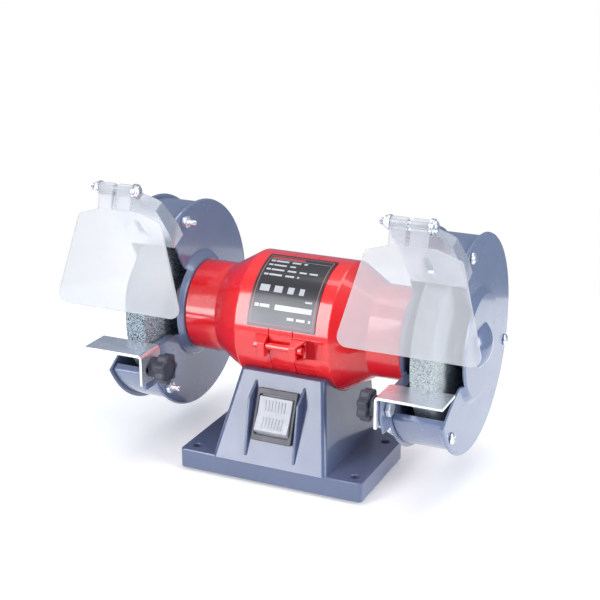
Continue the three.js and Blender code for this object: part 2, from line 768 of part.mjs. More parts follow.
// The rim of the guard: a rolled strip whose ends are folded, the upper one behind the bracket.
function guardBand() {
  const inside = BAND_RADIUS - SHEET;
  const angleOf = (angle) => Math.PI - radians(angle);
  const front = SHEET + GAP;
  const shape = new THREE.Shape();
  shape.moveTo(...ahead(BAND.lip, BAND.lowerEnd));
  shape.lineTo(...ahead(BAND_RADIUS, BAND.lowerEnd));
  shape.absarc(0, 0, BAND_RADIUS, angleOf(BAND.lowerEnd) - 2 * Math.PI, angleOf(BAND.upperEnd), false);
  shape.lineTo(...onBracket(BAND.tabTop, front));
  shape.lineTo(...onBracket(BAND.tabFoot, front));
  shape.lineTo(...onBracket(BAND.tabFoot, front + SHEET));
  shape.lineTo(...onBracket(BAND.tabTop - 1.7, front + SHEET));
  shape.lineTo(...ahead(inside, BAND.upperEnd));
  shape.absarc(0, 0, inside, angleOf(BAND.upperEnd), angleOf(BAND.lowerEnd - 1.3) - 2 * Math.PI, true);
  shape.lineTo(...ahead(BAND.lip, BAND.lowerEnd - 1.3));
  shape.closePath();
  const strip = alongX(shape, [INNER_FACE + SHEET + GAP, COVER_FACE - SHEET - GAP], 22);
  const bolt = post(BRACKET_BOLT.hole, [-10, 10]);
  bolt.rotateX(Math.PI / 2 + radians(BRACKET_LEAN));
  const [y, z] = onBracket(ADJUST_BOLT_UP, 0);
  return cut(strip, bolt.translate(0, y, z));
}

// A long screw through cover and inner disc, with its nut on the motor side.
function coverScrew(out) {
  const outside = out * (COVER_FACE + GAP);
  const inside = out * (INNER_FACE - GAP);
  const head = turned([
    [outside, 0],
    [outside, COVER_SCREWS.head],
    [outside + out * 1.4, COVER_SCREWS.head],
    [outside + out * 2.6, 2.6],
    [outside + out * 2.6, 0],
  ]);
  return join(
    head,
    bar(COVER_SCREWS.shank, [inside - out * 10, outside + out]),
    bar(COVER_SCREWS.nut, [inside - out * 3.8, inside], [0, 0], 6),
  );
}

function buildGuard(station, name, out) {
  piece(station, `guard_inner_${name}`, guardInner(out), PAINT, 0.3);
  piece(station, `guard_band_${name}`, guardBand(), PAINT, 0.3);
  piece(station, `guard_cover_${name}`, guardCover(out), PAINT, 0.3);
  COVER_SCREWS.angles.forEach((angle, i) => {
    const [y, z] = ahead(COVER_SCREWS.radius, angle);
    piece(station, `cover_screw_${name}_${i + 1}`, coverScrew(out), ZINC, 0.2, 1).position.set(0, y, z);
  });
}

// ---------------------------------------------------------------- shield and bracket

const EARS = { left: [-24.6, -23.1], right: [4.2, 5.7] };
// The line of the side flange in the plate's plane: straight, then in toward the pivot.
const FLANGE_LINE = [
  [20.4, 0],
  [20.4, 12],
  [15.5, 34],
  [4.2, 45],
  [4.2, 57],
];

// The bracket in its own plane: x across, y up the plate, z out of its front face.
function shieldBracket() {
  const inside = FLANGE_LINE;
  const outside = FLANGE_LINE.map(([x, up]) => [x + SHEET, up]).reverse();
  const strip = extrude(outline([...inside, ...outside]), 24).translate(0, 0, -17);
  const sideView = new THREE.Shape();
  sideView.moveTo(0, 0);
  sideView.lineTo(0, -15);
  sideView.lineTo(36.7, -9.6);
  sideView.lineTo(47, -5);
  sideView.absarc(HINGE_UP, 0, 5.4, radians(235), radians(505), false);
  sideView.lineTo(44, 0);
  sideView.closePath();
  const flange = common(strip, alongX(sideView, [0, 30], 8));
  const left = new THREE.Shape();
  left.moveTo(36, 0);
  left.lineTo(36, -SHEET);
  left.lineTo(46, -4);
  left.absarc(HINGE_UP, 0, 5, radians(235), radians(505), false);
  left.lineTo(45, 0);
  left.closePath();
  const leftEar = alongX(left, EARS.left, 8);
  const face = alongZ(
    outline([
      [-16.2, 0],
      [21, 0],
      [21, 12],
      [16.2, 34],
      [5, 45],
      [-24.6, 45],
    ]),
    [-SHEET, 0],
  );
  const slant = radians(SLOT_SLANT);
  const slotLength = SLOT_TRAVEL.down + SLOT_TRAVEL.up;
  const slotMiddle = (SLOT_TRAVEL.up - SLOT_TRAVEL.down) / 2;
  const slot = join(
    block(
      [-BRACKET_BOLT.slot, BRACKET_BOLT.slot],
      [slotMiddle - slotLength / 2, slotMiddle + slotLength / 2],
      [-5, 5],
    ),
    post(BRACKET_BOLT.slot, [-5, 5], [0, SLOT_TRAVEL.up]),
    post(BRACKET_BOLT.slot, [-5, 5], [0, -SLOT_TRAVEL.down]),
  );
  slot.rotateZ(slant).translate(0, ADJUST_BOLT_UP, 0);
  const pivotHole = bar(PIVOT.radius + GAP, [-40, 40], [HINGE_UP, 0]);
  return cut(join(face, flange, leftEar), slot, pivotHole);
}

// The bolt that clamps the bracket to the guard's tab, with its nut behind the tab.
function bracketBolt() {
  const behind = -2 * SHEET - 2 * GAP;
  return join(
    post(BRACKET_BOLT.head, [GAP, 3.6], [0, 0], 6),
    post(BRACKET_BOLT.radius, [behind - 4, 1]),
    post(BRACKET_BOLT.nut, [behind - 2.4, behind], [0, 0], 6),
  );
}

function pivotBolt() {
  const seat = EARS.right[1] + GAP;
  return turned([
    [PIVOT.end, 0],
    [PIVOT.end, PIVOT.radius],
    [seat, PIVOT.radius],
    [seat, 5.4],
    [seat + 0.8, 5.4],
    [seat + 0.8, 4.2],
    [seat + 2.2, 4],
    [seat + 3.2, 2.4],
    [seat + 3.2, 0],
  ]);
}

const SHIELD = {
  middle: -4.7,
  sheet: 2.2,
  topY: -68,
  topZ: 86.8,
  bottomY: -76,
  bottomZ: 14,
  topHalf: 14.5,
  shoulderHalf: 33.5,
  shoulderDrop: 6,
  bottomHalf: 52,
  bottomCorner: 8,
};
const KNUCKLES = [
  [-22.7, -11.5],
  [-8, 3.8],
];

// The clear shield with its two knuckles, about its pivot.
function eyeShield() {
  const [hingeY, hingeZ] = onBracket(HINGE_UP, 0);
  const rise = SHIELD.topZ - SHIELD.bottomZ;
  const height = Math.hypot(rise, SHIELD.topY - SHIELD.bottomY);
  const tilt = Math.atan2(SHIELD.topY - SHIELD.bottomY, rise);
  const pane = outline([
    [-SHIELD.bottomHalf, 0, SHIELD.bottomCorner],
    [SHIELD.bottomHalf, 0, SHIELD.bottomCorner],
    [SHIELD.shoulderHalf, height - SHIELD.shoulderDrop, 5],
    [SHIELD.topHalf, height, 6],
    [-SHIELD.topHalf, height, 6],
    [-SHIELD.shoulderHalf, height - SHIELD.shoulderDrop, 5],
  ]);
  const sheet = extrude(pane, SHIELD.sheet, 5)
    .translate(SHIELD.middle, 0, 0)
    .rotateX(Math.PI / 2 - tilt)
    .translate(0, SHIELD.bottomY - hingeY, SHIELD.bottomZ - hingeZ);
  const front = SHIELD.topY - hingeY - SHIELD.sheet;
  const low = SHIELD.topZ - hingeZ - 4;
  const strap = outline([
    [front + 0.1, low],
    [front + SHIELD.sheet - 0.3, low],
    [-1.2, -2.6],
    [-1.2, 2.6],
    [-PIVOT.knuckle, 0],
  ]);
  const knuckles = KNUCKLES.flatMap((span) => [
    bar(PIVOT.knuckle, span),
    alongX(strap, span),
  ]);
  return cut(join(sheet, ...knuckles), bar(PIVOT.radius + GAP, [-40, 40]));
}

function buildShield(station, name) {
  const plate = groupAt(station, 0, ...BRACKET_FOOT, Math.PI / 2 + radians(BRACKET_LEAN));
  piece(plate, `shield_bracket_${name}`, shieldBracket(), ZINC, 0.15, 1);
  piece(plate, `bracket_bolt_${name}`, bracketBolt(), ZINC, 0.2, 1).position.y = ADJUST_BOLT_UP;
  const pivot = groupAt(station, 0, ...onBracket(HINGE_UP, 0));
  piece(pivot, `eye_shield_${name}`, eyeShield(), 0xeef2f6, 0.1);
  piece(pivot, `shield_pivot_bolt_${name}`, pivotBolt(), ZINC, 0.2, 1);
  const seat = EARS.left[0] - GAP;
  const nut = hexNut(PIVOT.nut, PIVOT.radius + GAP, [seat - PIVOT.nutTall, seat]);
  piece(pivot, `pivot_nut_${name}`, nut, ZINC, 0.2, 1);
}

// ---------------------------------------------------------------- tool rest

function toolRest(out) {
  const table = block([out * REST.inner, out * REST.outer], [REST.front, REST.back], [
    REST.top - REST.sheet,
    REST.top,
  ]);
  const leg = block([out * REST.inner, out * (REST.inner + REST.sheet)], [REST.front, REST.back], [
    REST.legFoot,
    REST.top,
  ]);
  const slotX = [out * (REST.inner - 1), out * (REST.inner + REST.sheet + 1)];
  const high = REST_BOLT.radius + GAP;
  const [slotFront, slotBack] = [REST_BOLT.y - 6.5, REST_BOLT.y + 5.5];
  const slot = block(slotX, [slotFront, slotBack], [REST_BOLT.z - high, REST_BOLT.z + high]);
  const ends = [slotFront, slotBack].map((y) => bar(high, slotX, [y, REST_BOLT.z]));
  return cut(join(table, leg), slot, ...ends);
}

function restBolt(out) {
  const seat = INNER_FACE + SHEET + GAP;
  return join(
    bar(REST_BOLT.head, [out * seat, out * (seat + 3.6)], [0, 0], 6),
    bar(REST_BOLT.radius, [out * (seat + 1), out * REST_BOLT.end]),
  );
}

const KNOB = { collar: -22.1, body: -25.5, end: -36.3, radius: 10.4, lobe: 1.1, lobes: 7 };

function restKnob(out) {
  const points = Array.from({ length: 4 * KNOB.lobes }, (_, i) => {
    const angle = (i / (4 * KNOB.lobes)) * 2 * Math.PI;
    const radius = KNOB.radius + KNOB.lobe * Math.cos(KNOB.lobes * angle);
    return new THREE.Vector2(radius * Math.cos(angle), radius * Math.sin(angle));
  });
  const lobed = alongX(new THREE.Shape(points), [out * KNOB.body, out * KNOB.end]);
  const collar = bar(7, [out * KNOB.collar, out * (KNOB.body - 1)]);
  const bore = bar(REST_BOLT.radius + GAP, [out * (KNOB.collar + 1), out * (KNOB.end + 2.5)]);
  return cut(join(lobed, collar), bore);
}

function buildRest(station, name, out) {
  piece(station, `tool_rest_${name}`, toolRest(out), ZINC, 0.15, 1);
  const axis = groupAt(station, 0, REST_BOLT.y, REST_BOLT.z);
  piece(axis, `rest_bolt_${name}`, restBolt(out), ZINC, 0.2, 1);
  piece(axis, `rest_knob_${name}`, restKnob(out), BLACK, 0.5);
}

// ---------------------------------------------------------------- assembly

buildBase();
buildMotor();
for (const [name, out] of [
  ["left", -1],
  ["right", 1],
]) {
  const station = groupAt(grinder, out * WHEEL_X, 0, AXIS_Z);
  buildWheel(station, name, out);
  buildGuard(station, name, out);
  buildShield(station, name);
  buildRest(station, name, out);
}

export default grinder;
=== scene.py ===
import json
from math import asin, atan, atan2, copysign, cos, degrees, hypot, pi, radians, sin, sqrt, tan

import bmesh
import bpy
from mathutils import Matrix, Vector
from mathutils.geometry import tessellate_polygon


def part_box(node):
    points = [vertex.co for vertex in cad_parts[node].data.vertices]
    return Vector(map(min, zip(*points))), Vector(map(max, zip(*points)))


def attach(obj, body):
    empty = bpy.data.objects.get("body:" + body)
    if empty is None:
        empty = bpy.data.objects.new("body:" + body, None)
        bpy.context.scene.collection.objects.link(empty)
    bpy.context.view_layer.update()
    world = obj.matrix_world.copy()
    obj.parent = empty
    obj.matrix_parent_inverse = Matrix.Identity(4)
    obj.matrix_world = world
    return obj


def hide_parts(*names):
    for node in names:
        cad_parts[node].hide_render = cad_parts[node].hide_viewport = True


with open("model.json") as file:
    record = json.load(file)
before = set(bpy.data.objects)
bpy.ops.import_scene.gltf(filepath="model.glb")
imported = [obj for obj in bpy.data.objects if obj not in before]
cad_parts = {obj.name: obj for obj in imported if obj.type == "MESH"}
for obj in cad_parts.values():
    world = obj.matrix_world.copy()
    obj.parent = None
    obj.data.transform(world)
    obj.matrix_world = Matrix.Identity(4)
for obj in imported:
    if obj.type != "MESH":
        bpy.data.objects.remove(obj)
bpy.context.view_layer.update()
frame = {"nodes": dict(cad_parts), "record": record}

# ---- measures, in millimetres

MM = 0.001
GAP = 0.3  # clearance between pieces that touch
FINE = 128  # flats in a full turn of a large round piece
SMALL = 40  # flats in a full turn of a small one

SHEET = 1.5
GUARD_RADIUS = 79
BAND_RADIUS = 76
BRACKET_LEAN = 26.3
BRACKET_FOOT = (-40, 54)
HINGE_UP = 50.8
ADJUST_BOLT_UP = 8.9
SLOT_SLANT = 15
COVER_SCREWS = {"radius": 72, "angles": (73, -44, -164)}
REST_BOLT = (-76, -25)
REST_BOLT_RADIUS = 3
KNOB = {"radius": 10.4, "lobe": 1.1, "lobes": 7, "inner": 28.3, "outer": 36.3}
COLLAR = {"radius": 7.4, "inner": 22.1, "outer": 29.3}


def size(node):
    """The lowest and highest corners of a CAD node, in millimetres."""
    low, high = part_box(node)
    return low / MM, high / MM


def middle(node):
    low, high = size(node)
    return (low + high) / 2


AXIS_Z = middle("grinding_wheel_left").z
WHEEL_X = middle("grinding_wheel_right").x
wheel_low, wheel_high = size("grinding_wheel_left")
WHEEL_RADIUS = (wheel_high.z - wheel_low.z) / 2
WHEEL_HALF = (wheel_high.x - wheel_low.x) / 2
MOTOR_RADIUS = 47.6
SIDES = (("left", -1), ("right", 1))

# ---- outlines and frames


def basis(u, v, w, origin=(0, 0, 0)):
    """A frame whose u, v and w axes point the given ways."""
    matrix = Matrix((u, v, w)).transposed().to_4x4()
    matrix.translation = Vector(origin)
    return matrix


UPRIGHT = Matrix.Identity(4)
ALONG_X = basis((0, 1, 0), (0, 0, 1), (1, 0, 0))


def station(out):
    """The frame of one wheel: u back, v up and w along the spindle, from the wheel's middle."""
    return Matrix.Translation((out * WHEEL_X, 0, AXIS_Z)) @ ALONG_X


def bracket_plane(out):
    """The frame of one bracket: u across, v up the plate and w out of its front face."""
    lean = radians(BRACKET_LEAN)
    up = (0, -sin(lean), cos(lean))
    front = (0, -cos(lean), -sin(lean))
    foot = (out * WHEEL_X, BRACKET_FOOT[0], AXIS_Z + BRACKET_FOOT[1])
    return basis((1, 0, 0), up, front, foot)


def polar(radius, turn, centre=(0, 0)):
    """The point at a radius and an angle in radians round a centre."""
    return centre[0] + radius * cos(turn), centre[1] + radius * sin(turn)


def ahead(radius, angle):
    """The u and v of a point at an angle in degrees above straight ahead."""
    turn = radians(angle)
    return -radius * cos(turn), radius * sin(turn)


def arc(centre, radius, start, end, steps):
    """Points of an arc, with its angles in degrees from the u axis."""
    turns = [radians(start + (end - start) * k / steps) for k in range(steps + 1)]
    return [polar(radius, turn, centre) for turn in turns]


def circle(centre, radius, steps=SMALL):
    return arc(centre, radius, 0, 360 - 360 / steps, steps - 1)


def rounded(corners, steps=5, closed=True):
    """Points of an outline from (u, v, radius) corners, with an arc at each rounded one."""
    points = []
    count = len(corners)
    for i, corner in enumerate(corners):
        here = Vector(corner[:2])
        radius = corner[2] if len(corner) > 2 else 0
        if radius == 0 or (not closed and i in (0, count - 1)):
            points.append(tuple(here))
            continue
        back = (Vector(corners[i - 1][:2]) - here).normalized()
        on = (Vector(corners[(i + 1) % count][:2]) - here).normalized()
        half = back.angle(on) / 2
        centre = here + (back + on).normalized() * radius / sin(half)
        start = here + back * radius / tan(half) - centre
        end = here + on * radius / tan(half) - centre
        first = atan2(start.y, start.x)
        sweep = (atan2(end.y, end.x) - first + pi) % (2 * pi) - pi
        points += [polar(radius, first + sweep * k / steps, centre) for k in range(steps + 1)]
    return points


def rectangle(u0, u1, v0, v1, radius=0, steps=4):
    return rounded([(u0, v0, radius), (u1, v0, radius), (u1, v1, radius), (u0, v1, radius)], steps)


def centred(half_u, half_v, radius=0, at=(0, 0)):
    """A rectangle from its half width and half height."""
    return rectangle(at[0] - half_u, at[0] + half_u, at[1] - half_v, at[1] + half_v, radius)


def area(points):
    total = 0
    for (u0, v0), (u1, v1) in zip(points, points[1:] + points[:1]):
        total += (u0 * v1 - u1 * v0) / 2
    return total


def inset(points, amount):
    """The outline moved to its left by an amount, with mitred corners."""
    moved = []
    for i, point in enumerate(points):
        here = Vector(point)
        back = (here - Vector(points[i - 1])).normalized()
        on = (Vector(points[(i + 1) % len(points)]) - here).normalized()
        left = Vector((-back.y, back.x))
        next_left = Vector((-on.y, on.x))
        share = max(1 + left.dot(next_left), 0.4)
        moved.append(tuple(here + (left + next_left) * amount / share))
    return moved


# ---- meshes


def bridge(data, low, high, closed=True):
    """Adds the faces between two rows of vertices."""
    for i in range(0 if closed else 1, len(low)):
        data.faces.new((low[i - 1], low[i], high[i], high[i - 1]))


def to_object(mesh_data, place):
    """An object from a bmesh drawn in millimetres in the given frame."""
    mesh_data.transform(Matrix.Scale(MM, 4) @ place)
    bmesh.ops.remove_doubles(mesh_data, verts=mesh_data.verts, dist=1e-7)
    mesh = bpy.data.meshes.new("shape")
    mesh_data.to_mesh(mesh)
    mesh_data.free()
    made = bpy.data.objects.new("shape", mesh)
    bpy.context.scene.collection.objects.link(made)
    return made


def prism(points, w0, w1, place=UPRIGHT, bevel=0.3, holes=(), steps=2):
    """A plate with rounded edges, from its outline and its holes in u and v."""
    loops = [points if area(points) > 0 else points[::-1]]
    loops += [hole[::-1] if area(hole) > 0 else hole for hole in holes]
    w0, w1 = min(w0, w1), max(w0, w1)
    levels = []
    for k in range(steps + 1):
        turn = pi / 2 * k / steps
        levels.append((bevel * (1 - sin(turn)), w0 + bevel * (1 - cos(turn))))
    levels += [(amount, w0 + w1 - w) for amount, w in reversed(levels)]
    if bevel == 0:
        levels = [(0, w0), (0, w1)]
    data = bmesh.new()
    ends = ([], [])
    for loop in loops:
        rings = []
        for amount, w in levels:
            moved = inset(loop, amount) if amount else loop
            rings.append([data.verts.new((u, v, w)) for u, v in moved])
        for low, high in zip(rings, rings[1:]):
            bridge(data, low, high)
        ends[0].append(rings[0])
        ends[1].append(rings[-1])
    for rings in ends:
        flat = [vertex for ring in rings for vertex in ring]
        for triangle in tessellate_polygon([[vertex.co for vertex in ring] for ring in rings]):
            data.faces.new([flat[i] for i in triangle])
    bmesh.ops.recalc_face_normals(data, faces=data.faces)
    return to_object(data, place)


def lathe(section, place=ALONG_X, steps=FINE):
    """A turning about the w axis from the (w, radius) points of its closed section."""
    data = bmesh.new()
    rings = []
    for k in range(steps):
        turn = 2 * pi * k / steps
        rings.append([data.verts.new((*polar(r, turn), w)) for w, r in section])
    for k in range(steps):
        here, before = rings[k], rings[k - 1]
        for i in range(len(section)):
            if section[i][1] == 0 and section[i - 1][1] == 0:
                continue
            data.faces.new((before[i - 1], before[i], here[i], here[i - 1]))
    bmesh.ops.remove_doubles(data, verts=data.verts, dist=1e-5)
    bmesh.ops.dissolve_degenerate(data, edges=data.edges, dist=1e-5)
    bmesh.ops.recalc_face_normals(data, faces=data.faces)
    return to_object(data, place)


def rod(radius, w0, w1, place, at=(0, 0), bevel=0.2, steps=SMALL):
    return prism(circle(at, radius, steps), w0, w1, place, bevel)


def hexagon(radius, w0, w1, place, at=(0, 0), bore=None):
    """A nut or a bolt head across u and v, with softened corners."""
    corners = [(at[0] + u, at[1] + v, 0.5) for u, v in circle((0, 0), radius, 6)]
    holes = [circle(at, bore, 24)] if bore else []
    return prism(rounded(corners, 3), w0, w1, place, 0.45, holes)


def grid(rows, place):
    """A sheet through rows of (u, v, w) points."""
    data = bmesh.new()
    made = [[data.verts.new(point) for point in row] for row in rows]
    for one, other in zip(made, made[1:]):
        bridge(data, one, other, False)
    return to_object(data, place)


def apply_modifiers(target):
    """The target's mesh as its modifiers shape it."""
    bpy.context.view_layer.update()
    shaped = target.evaluated_get(bpy.context.evaluated_depsgraph_get())
    mesh = bpy.data.meshes.new_from_object(shaped)
    target.modifiers.clear()
    target.data = mesh
    return target


def combine(target, others, operation):
    for other in others:
        modifier = target.modifiers.new("combine", "BOOLEAN")
        modifier.operation = operation
        modifier.solver = "EXACT"
        modifier.object = other
    apply_modifiers(target)
    for other in others:
        bpy.data.objects.remove(other)
    return target


def join(target, *others):
    return combine(target, others, "UNION")


def cut(target, *others):
    return combine(target, others, "DIFFERENCE")


def common(target, other):
    return combine(target, [other], "INTERSECT")


def thicken(target, thickness, bevel=0.35):
    """Gives a sheet its thickness on the back of its faces, with rounded edges."""
    modifier = target.modifiers.new("thicken", "SOLIDIFY")
    modifier.thickness = thickness * MM
    modifier.offset = -1
    modifier.use_even_offset = True
    apply_modifiers(target)
    return soften(target, bevel, 50)


def soften(target, width, angle=35, segments=2):
    modifier = target.modifiers.new("soften", "BEVEL")
    modifier.width = width * MM
    modifier.segments = segments
    modifier.limit_method = "ANGLE"
    modifier.angle_limit = radians(angle)
    modifier.use_clamp_overlap = True
    return apply_modifiers(target)


def facing(target, direction):
    """Turns an open sheet so that its faces look the way that direction gives for a point of it."""
    data = bmesh.new()
    data.from_mesh(target.data)
    bmesh.ops.recalc_face_normals(data, faces=data.faces)
    total = 0
    for face in data.faces:
        total += face.normal.dot(direction(face.calc_center_median())) * face.calc_area()
    if total < 0:
        bmesh.ops.reverse_faces(data, faces=data.faces)
    data.to_mesh(target.data)
    data.free()
    return target


def cross_recess(at, w0, w1, place, reach=2.0, width=0.75):
    """A cross-shaped cutter for a screw head."""
    one = prism(centred(reach, width / 2, 0, at), w0, w1, place, 0)
    other = prism(centred(width / 2, reach, 0, at), w0, w1, place, 0)
    return join(one, other)


def threaded(radius, w0, w1, place, at=(0, 0), pitch=0.8):
    """A threaded rod, with a ridge for each turn and a small chamfer at each end."""
    low, high = min(w0, w1), max(w0, w1)
    root, chamfer = radius - 0.4, 0.4
    section = [(low, 0), (low, radius - 0.5), (low + chamfer, radius - 0.15)]
    w = low + chamfer
    while w + pitch < high - chamfer:
        section += [(w + pitch / 2, root), (w + pitch, radius)]
        w += pitch
    section += [(high - 0.3, radius - 0.3), (high, radius - 0.5), (high, 0)]
    return lathe(section, place @ Matrix.Translation((*at, 0)), 24)


# ---- materials


class Finish:
    """A Principled material, with short ways to add procedural nodes."""

    def __init__(self, name, **sockets):
        self.material = bpy.data.materials.new(name)
        self.material.use_nodes = True
        self.tree = self.material.node_tree
        self.shader = self.tree.nodes["Principled BSDF"]
        for key, value in sockets.items():
            self.set(key, value)
        self.coordinates = self.add("TexCoord").outputs["Object"]

    def set(self, key, value):
        """Sets one of the shader's sockets, named with underscores for spaces."""
        self.feed(self.shader.inputs[key.replace("_", " ")], value)

    def feed(self, socket, value):
        if isinstance(value, bpy.types.NodeSocket):
            self.tree.links.new(value, socket)
        else:
            socket.default_value = value

    def add(self, kind, inputs=None, **settings):
        node = self.tree.nodes.new("ShaderNode" + kind)
        for key, value in settings.items():
            setattr(node, key, value)
        for key, value in (inputs or {}).items():
            self.feed(node.inputs[key], value)
        return node

    def noise(self, scale, detail=3, stretch=None):
        vector = self.coordinates
        if stretch:
            vector = self.add("Mapping", {"Vector": vector, "Scale": stretch}).outputs["Vector"]
        inputs = {"Vector": vector, "Scale": scale, "Detail": detail}
        return self.add("TexNoise", inputs).outputs["Fac"]

    def cells(self, scale):
        inputs = {"Vector": self.coordinates, "Scale": scale}
        return self.add("TexVoronoi", inputs).outputs["Color"]

    def spread(self, value, low, high, start=0.3, end=0.7):
        """Maps the values from start to end onto those from low to high."""
        names = ("From Min", "From Max", "To Min", "To Max")
        inputs = dict(zip(names, (start, end, low, high)), Value=value)
        return self.add("MapRange", inputs).outputs["Result"]

    def blend(self, share, one, other):
        node = self.add("Mix", data_type="RGBA")
        for socket, value in zip((node.inputs[0], node.inputs[6], node.inputs[7]), (share, one, other)):
            self.feed(socket, value)
        return node.outputs[2]

    def maths(self, operation, one, other):
        node = self.add("Math", operation=operation)
        self.feed(node.inputs[0], one)
        self.feed(node.inputs[1], other)
        return node.outputs[0]

    def bump(self, height, strength, distance):
        inputs = {"Height": height, "Strength": strength, "Distance": distance}
        self.set("Normal", self.add("Bump", inputs).outputs["Normal"])

    def tint(self, share, colour, low, high):
        """Varies the base colour between a darker and a lighter shade of one colour."""
        self.set("Base_Color", self.blend(share, shade(colour, low), shade(colour, high)))

    def gloss(self, value, low, high):
        """Varies the roughness with a pattern."""
        self.set("Roughness", self.spread(value, low, high))


def shade(colour, factor):
    return tuple(min(1, channel * factor) for channel in colour[:3]) + (1,)


def paint(name, colour, roughness, coat, metallic=0.0):
    """Sprayed gloss paint: faint mottling, uneven gloss and an orange-peel surface."""
    finish = Finish(name, Coat_Weight=coat, Coat_Roughness=0.07, Metallic=metallic)
    finish.tint(finish.spread(finish.noise(14, 4), 0, 1), colour, 0.93, 1.07)
    finish.gloss(finish.noise(60, 5), roughness * 0.85, roughness * 1.2)
    finish.bump(finish.noise(700, 2), 0.02, 0.0004)
    return finish.material


def moulded(name, colour, roughness, grain=1600, strength=0.12):
    """Moulded plastic with a fine spark-eroded grain."""
    finish = Finish(name)
    finish.tint(finish.spread(finish.noise(25, 4), 0, 1), colour, 0.9, 1.12)
    finish.gloss(finish.noise(110, 4), roughness * 0.85, roughness * 1.2)
    finish.bump(finish.noise(grain, 2), strength, 0.0002)
    return finish.material


def plated(name, colour, roughness, spangle=90, metallic=1.0):
    """Bright zinc plate: faint spangles, fine rolling marks and uneven gloss."""
    finish = Finish(name, Metallic=metallic)
    finish.tint(finish.cells(spangle), colour, 0.94, 1.04)
    finish.gloss(finish.noise(35, 5), roughness * 0.7, roughness * 1.5)
    finish.bump(finish.noise(300, 2, (1, 8, 1)), 0.015, 0.0002)
    return finish.material


def turned_steel(name, colour, roughness):
    """Machined metal with fine rings around the spindle."""
    finish = Finish(name, Metallic=1.0)
    rings = finish.noise(500, 2, (9, 0.4, 0.4))
    finish.tint(rings, colour, 0.85, 1.1)
    finish.gloss(finish.noise(80, 3), roughness * 0.8, roughness * 1.3)
    finish.bump(rings, 0.15, 0.0002)
    return finish.material


def abrasive(name, dark, light, share):
    """Bonded grit: hard speckles of two sizes in a rough surface."""
    finish = Finish(name, Specular_IOR_Level=0.35)
    grit = finish.add("SeparateColor", {"Color": finish.cells(1900)}).outputs[0]
    dust = finish.noise(2200, 2)
    blotch = finish.noise(60, 3)
    mixed = finish.maths("MULTIPLY", grit, 0.75)
    mixed = finish.maths("ADD", mixed, finish.maths("MULTIPLY", dust, 0.35))
    mixed = finish.maths("ADD", mixed, finish.maths("MULTIPLY", blotch, 0.2))
    speckle = finish.spread(mixed, 0, 1, share - 0.16, share + 0.16)
    finish.set("Base_Color", finish.blend(speckle, dark + (1,), light + (1,)))
    finish.gloss(dust, 0.75, 0.98)
    finish.bump(mixed, 0.6, 0.0007)
    return finish.material


def clear_plastic(name):
    """Polycarbonate: a thin milky film, denser where it is seen edge on."""
    finish = Finish(name, Base_Color=(0.69, 0.70, 0.73, 1), IOR=1.5, Specular_IOR_Level=0.4)
    edge = finish.add("LayerWeight", {"Blend": 0.35}).outputs["Facing"]
    haze = finish.spread(finish.noise(20, 4), 0.38, 0.42)
    finish.set("Alpha", finish.maths("ADD", haze, finish.maths("MULTIPLY", edge, 0.35)))
    finish.gloss(finish.noise(90, 4), 0.10, 0.18)
    return finish.material


def laminations(name, colour):
    """A stack of thin iron sheets along the spindle."""
    finish = Finish(name, Metallic=0.8)
    sheets = finish.noise(900, 1, (3, 0.01, 0.01))
    finish.tint(sheets, colour, 0.7, 1.2)
    finish.gloss(sheets, 0.4, 0.6)
    finish.bump(sheets, 0.3, 0.0003)
    return finish.material


# The rating plate, in shares of its width and height: a heading, a border, broken bars for
# print, and plain bars with a row of plain blocks in place of the marks.
HEADING = (0.07, 0.55, 0.90, 0.935)
BORDER = ((0.035, 0.965, 0.035, 0.965), (0.048, 0.952, 0.046, 0.954))
PRINT_BARS = [
    (0.08, 0.62, 0.835, 0.865),
    (0.08, 0.48, 0.765, 0.790),
    (0.08, 0.86, 0.690, 0.715),
    (0.08, 0.60, 0.615, 0.640),
    (0.08, 0.30, 0.225, 0.262),
    (0.58, 0.92, 0.115, 0.145),
]
SOLID_BARS = [(0.06, 0.94, 0.885, 0.889), (0.38, 0.92, 0.21, 0.27), (0.80, 0.90, 0.33, 0.35)]
BLOCKS = ((0.10, 0.14), (0.31, 0.12), (0.51, 0.09), (0.68, 0.07))  # each a start and a width
SOLID_BARS += [(u, u + width, 0.41, 0.49) for u, width in BLOCKS]


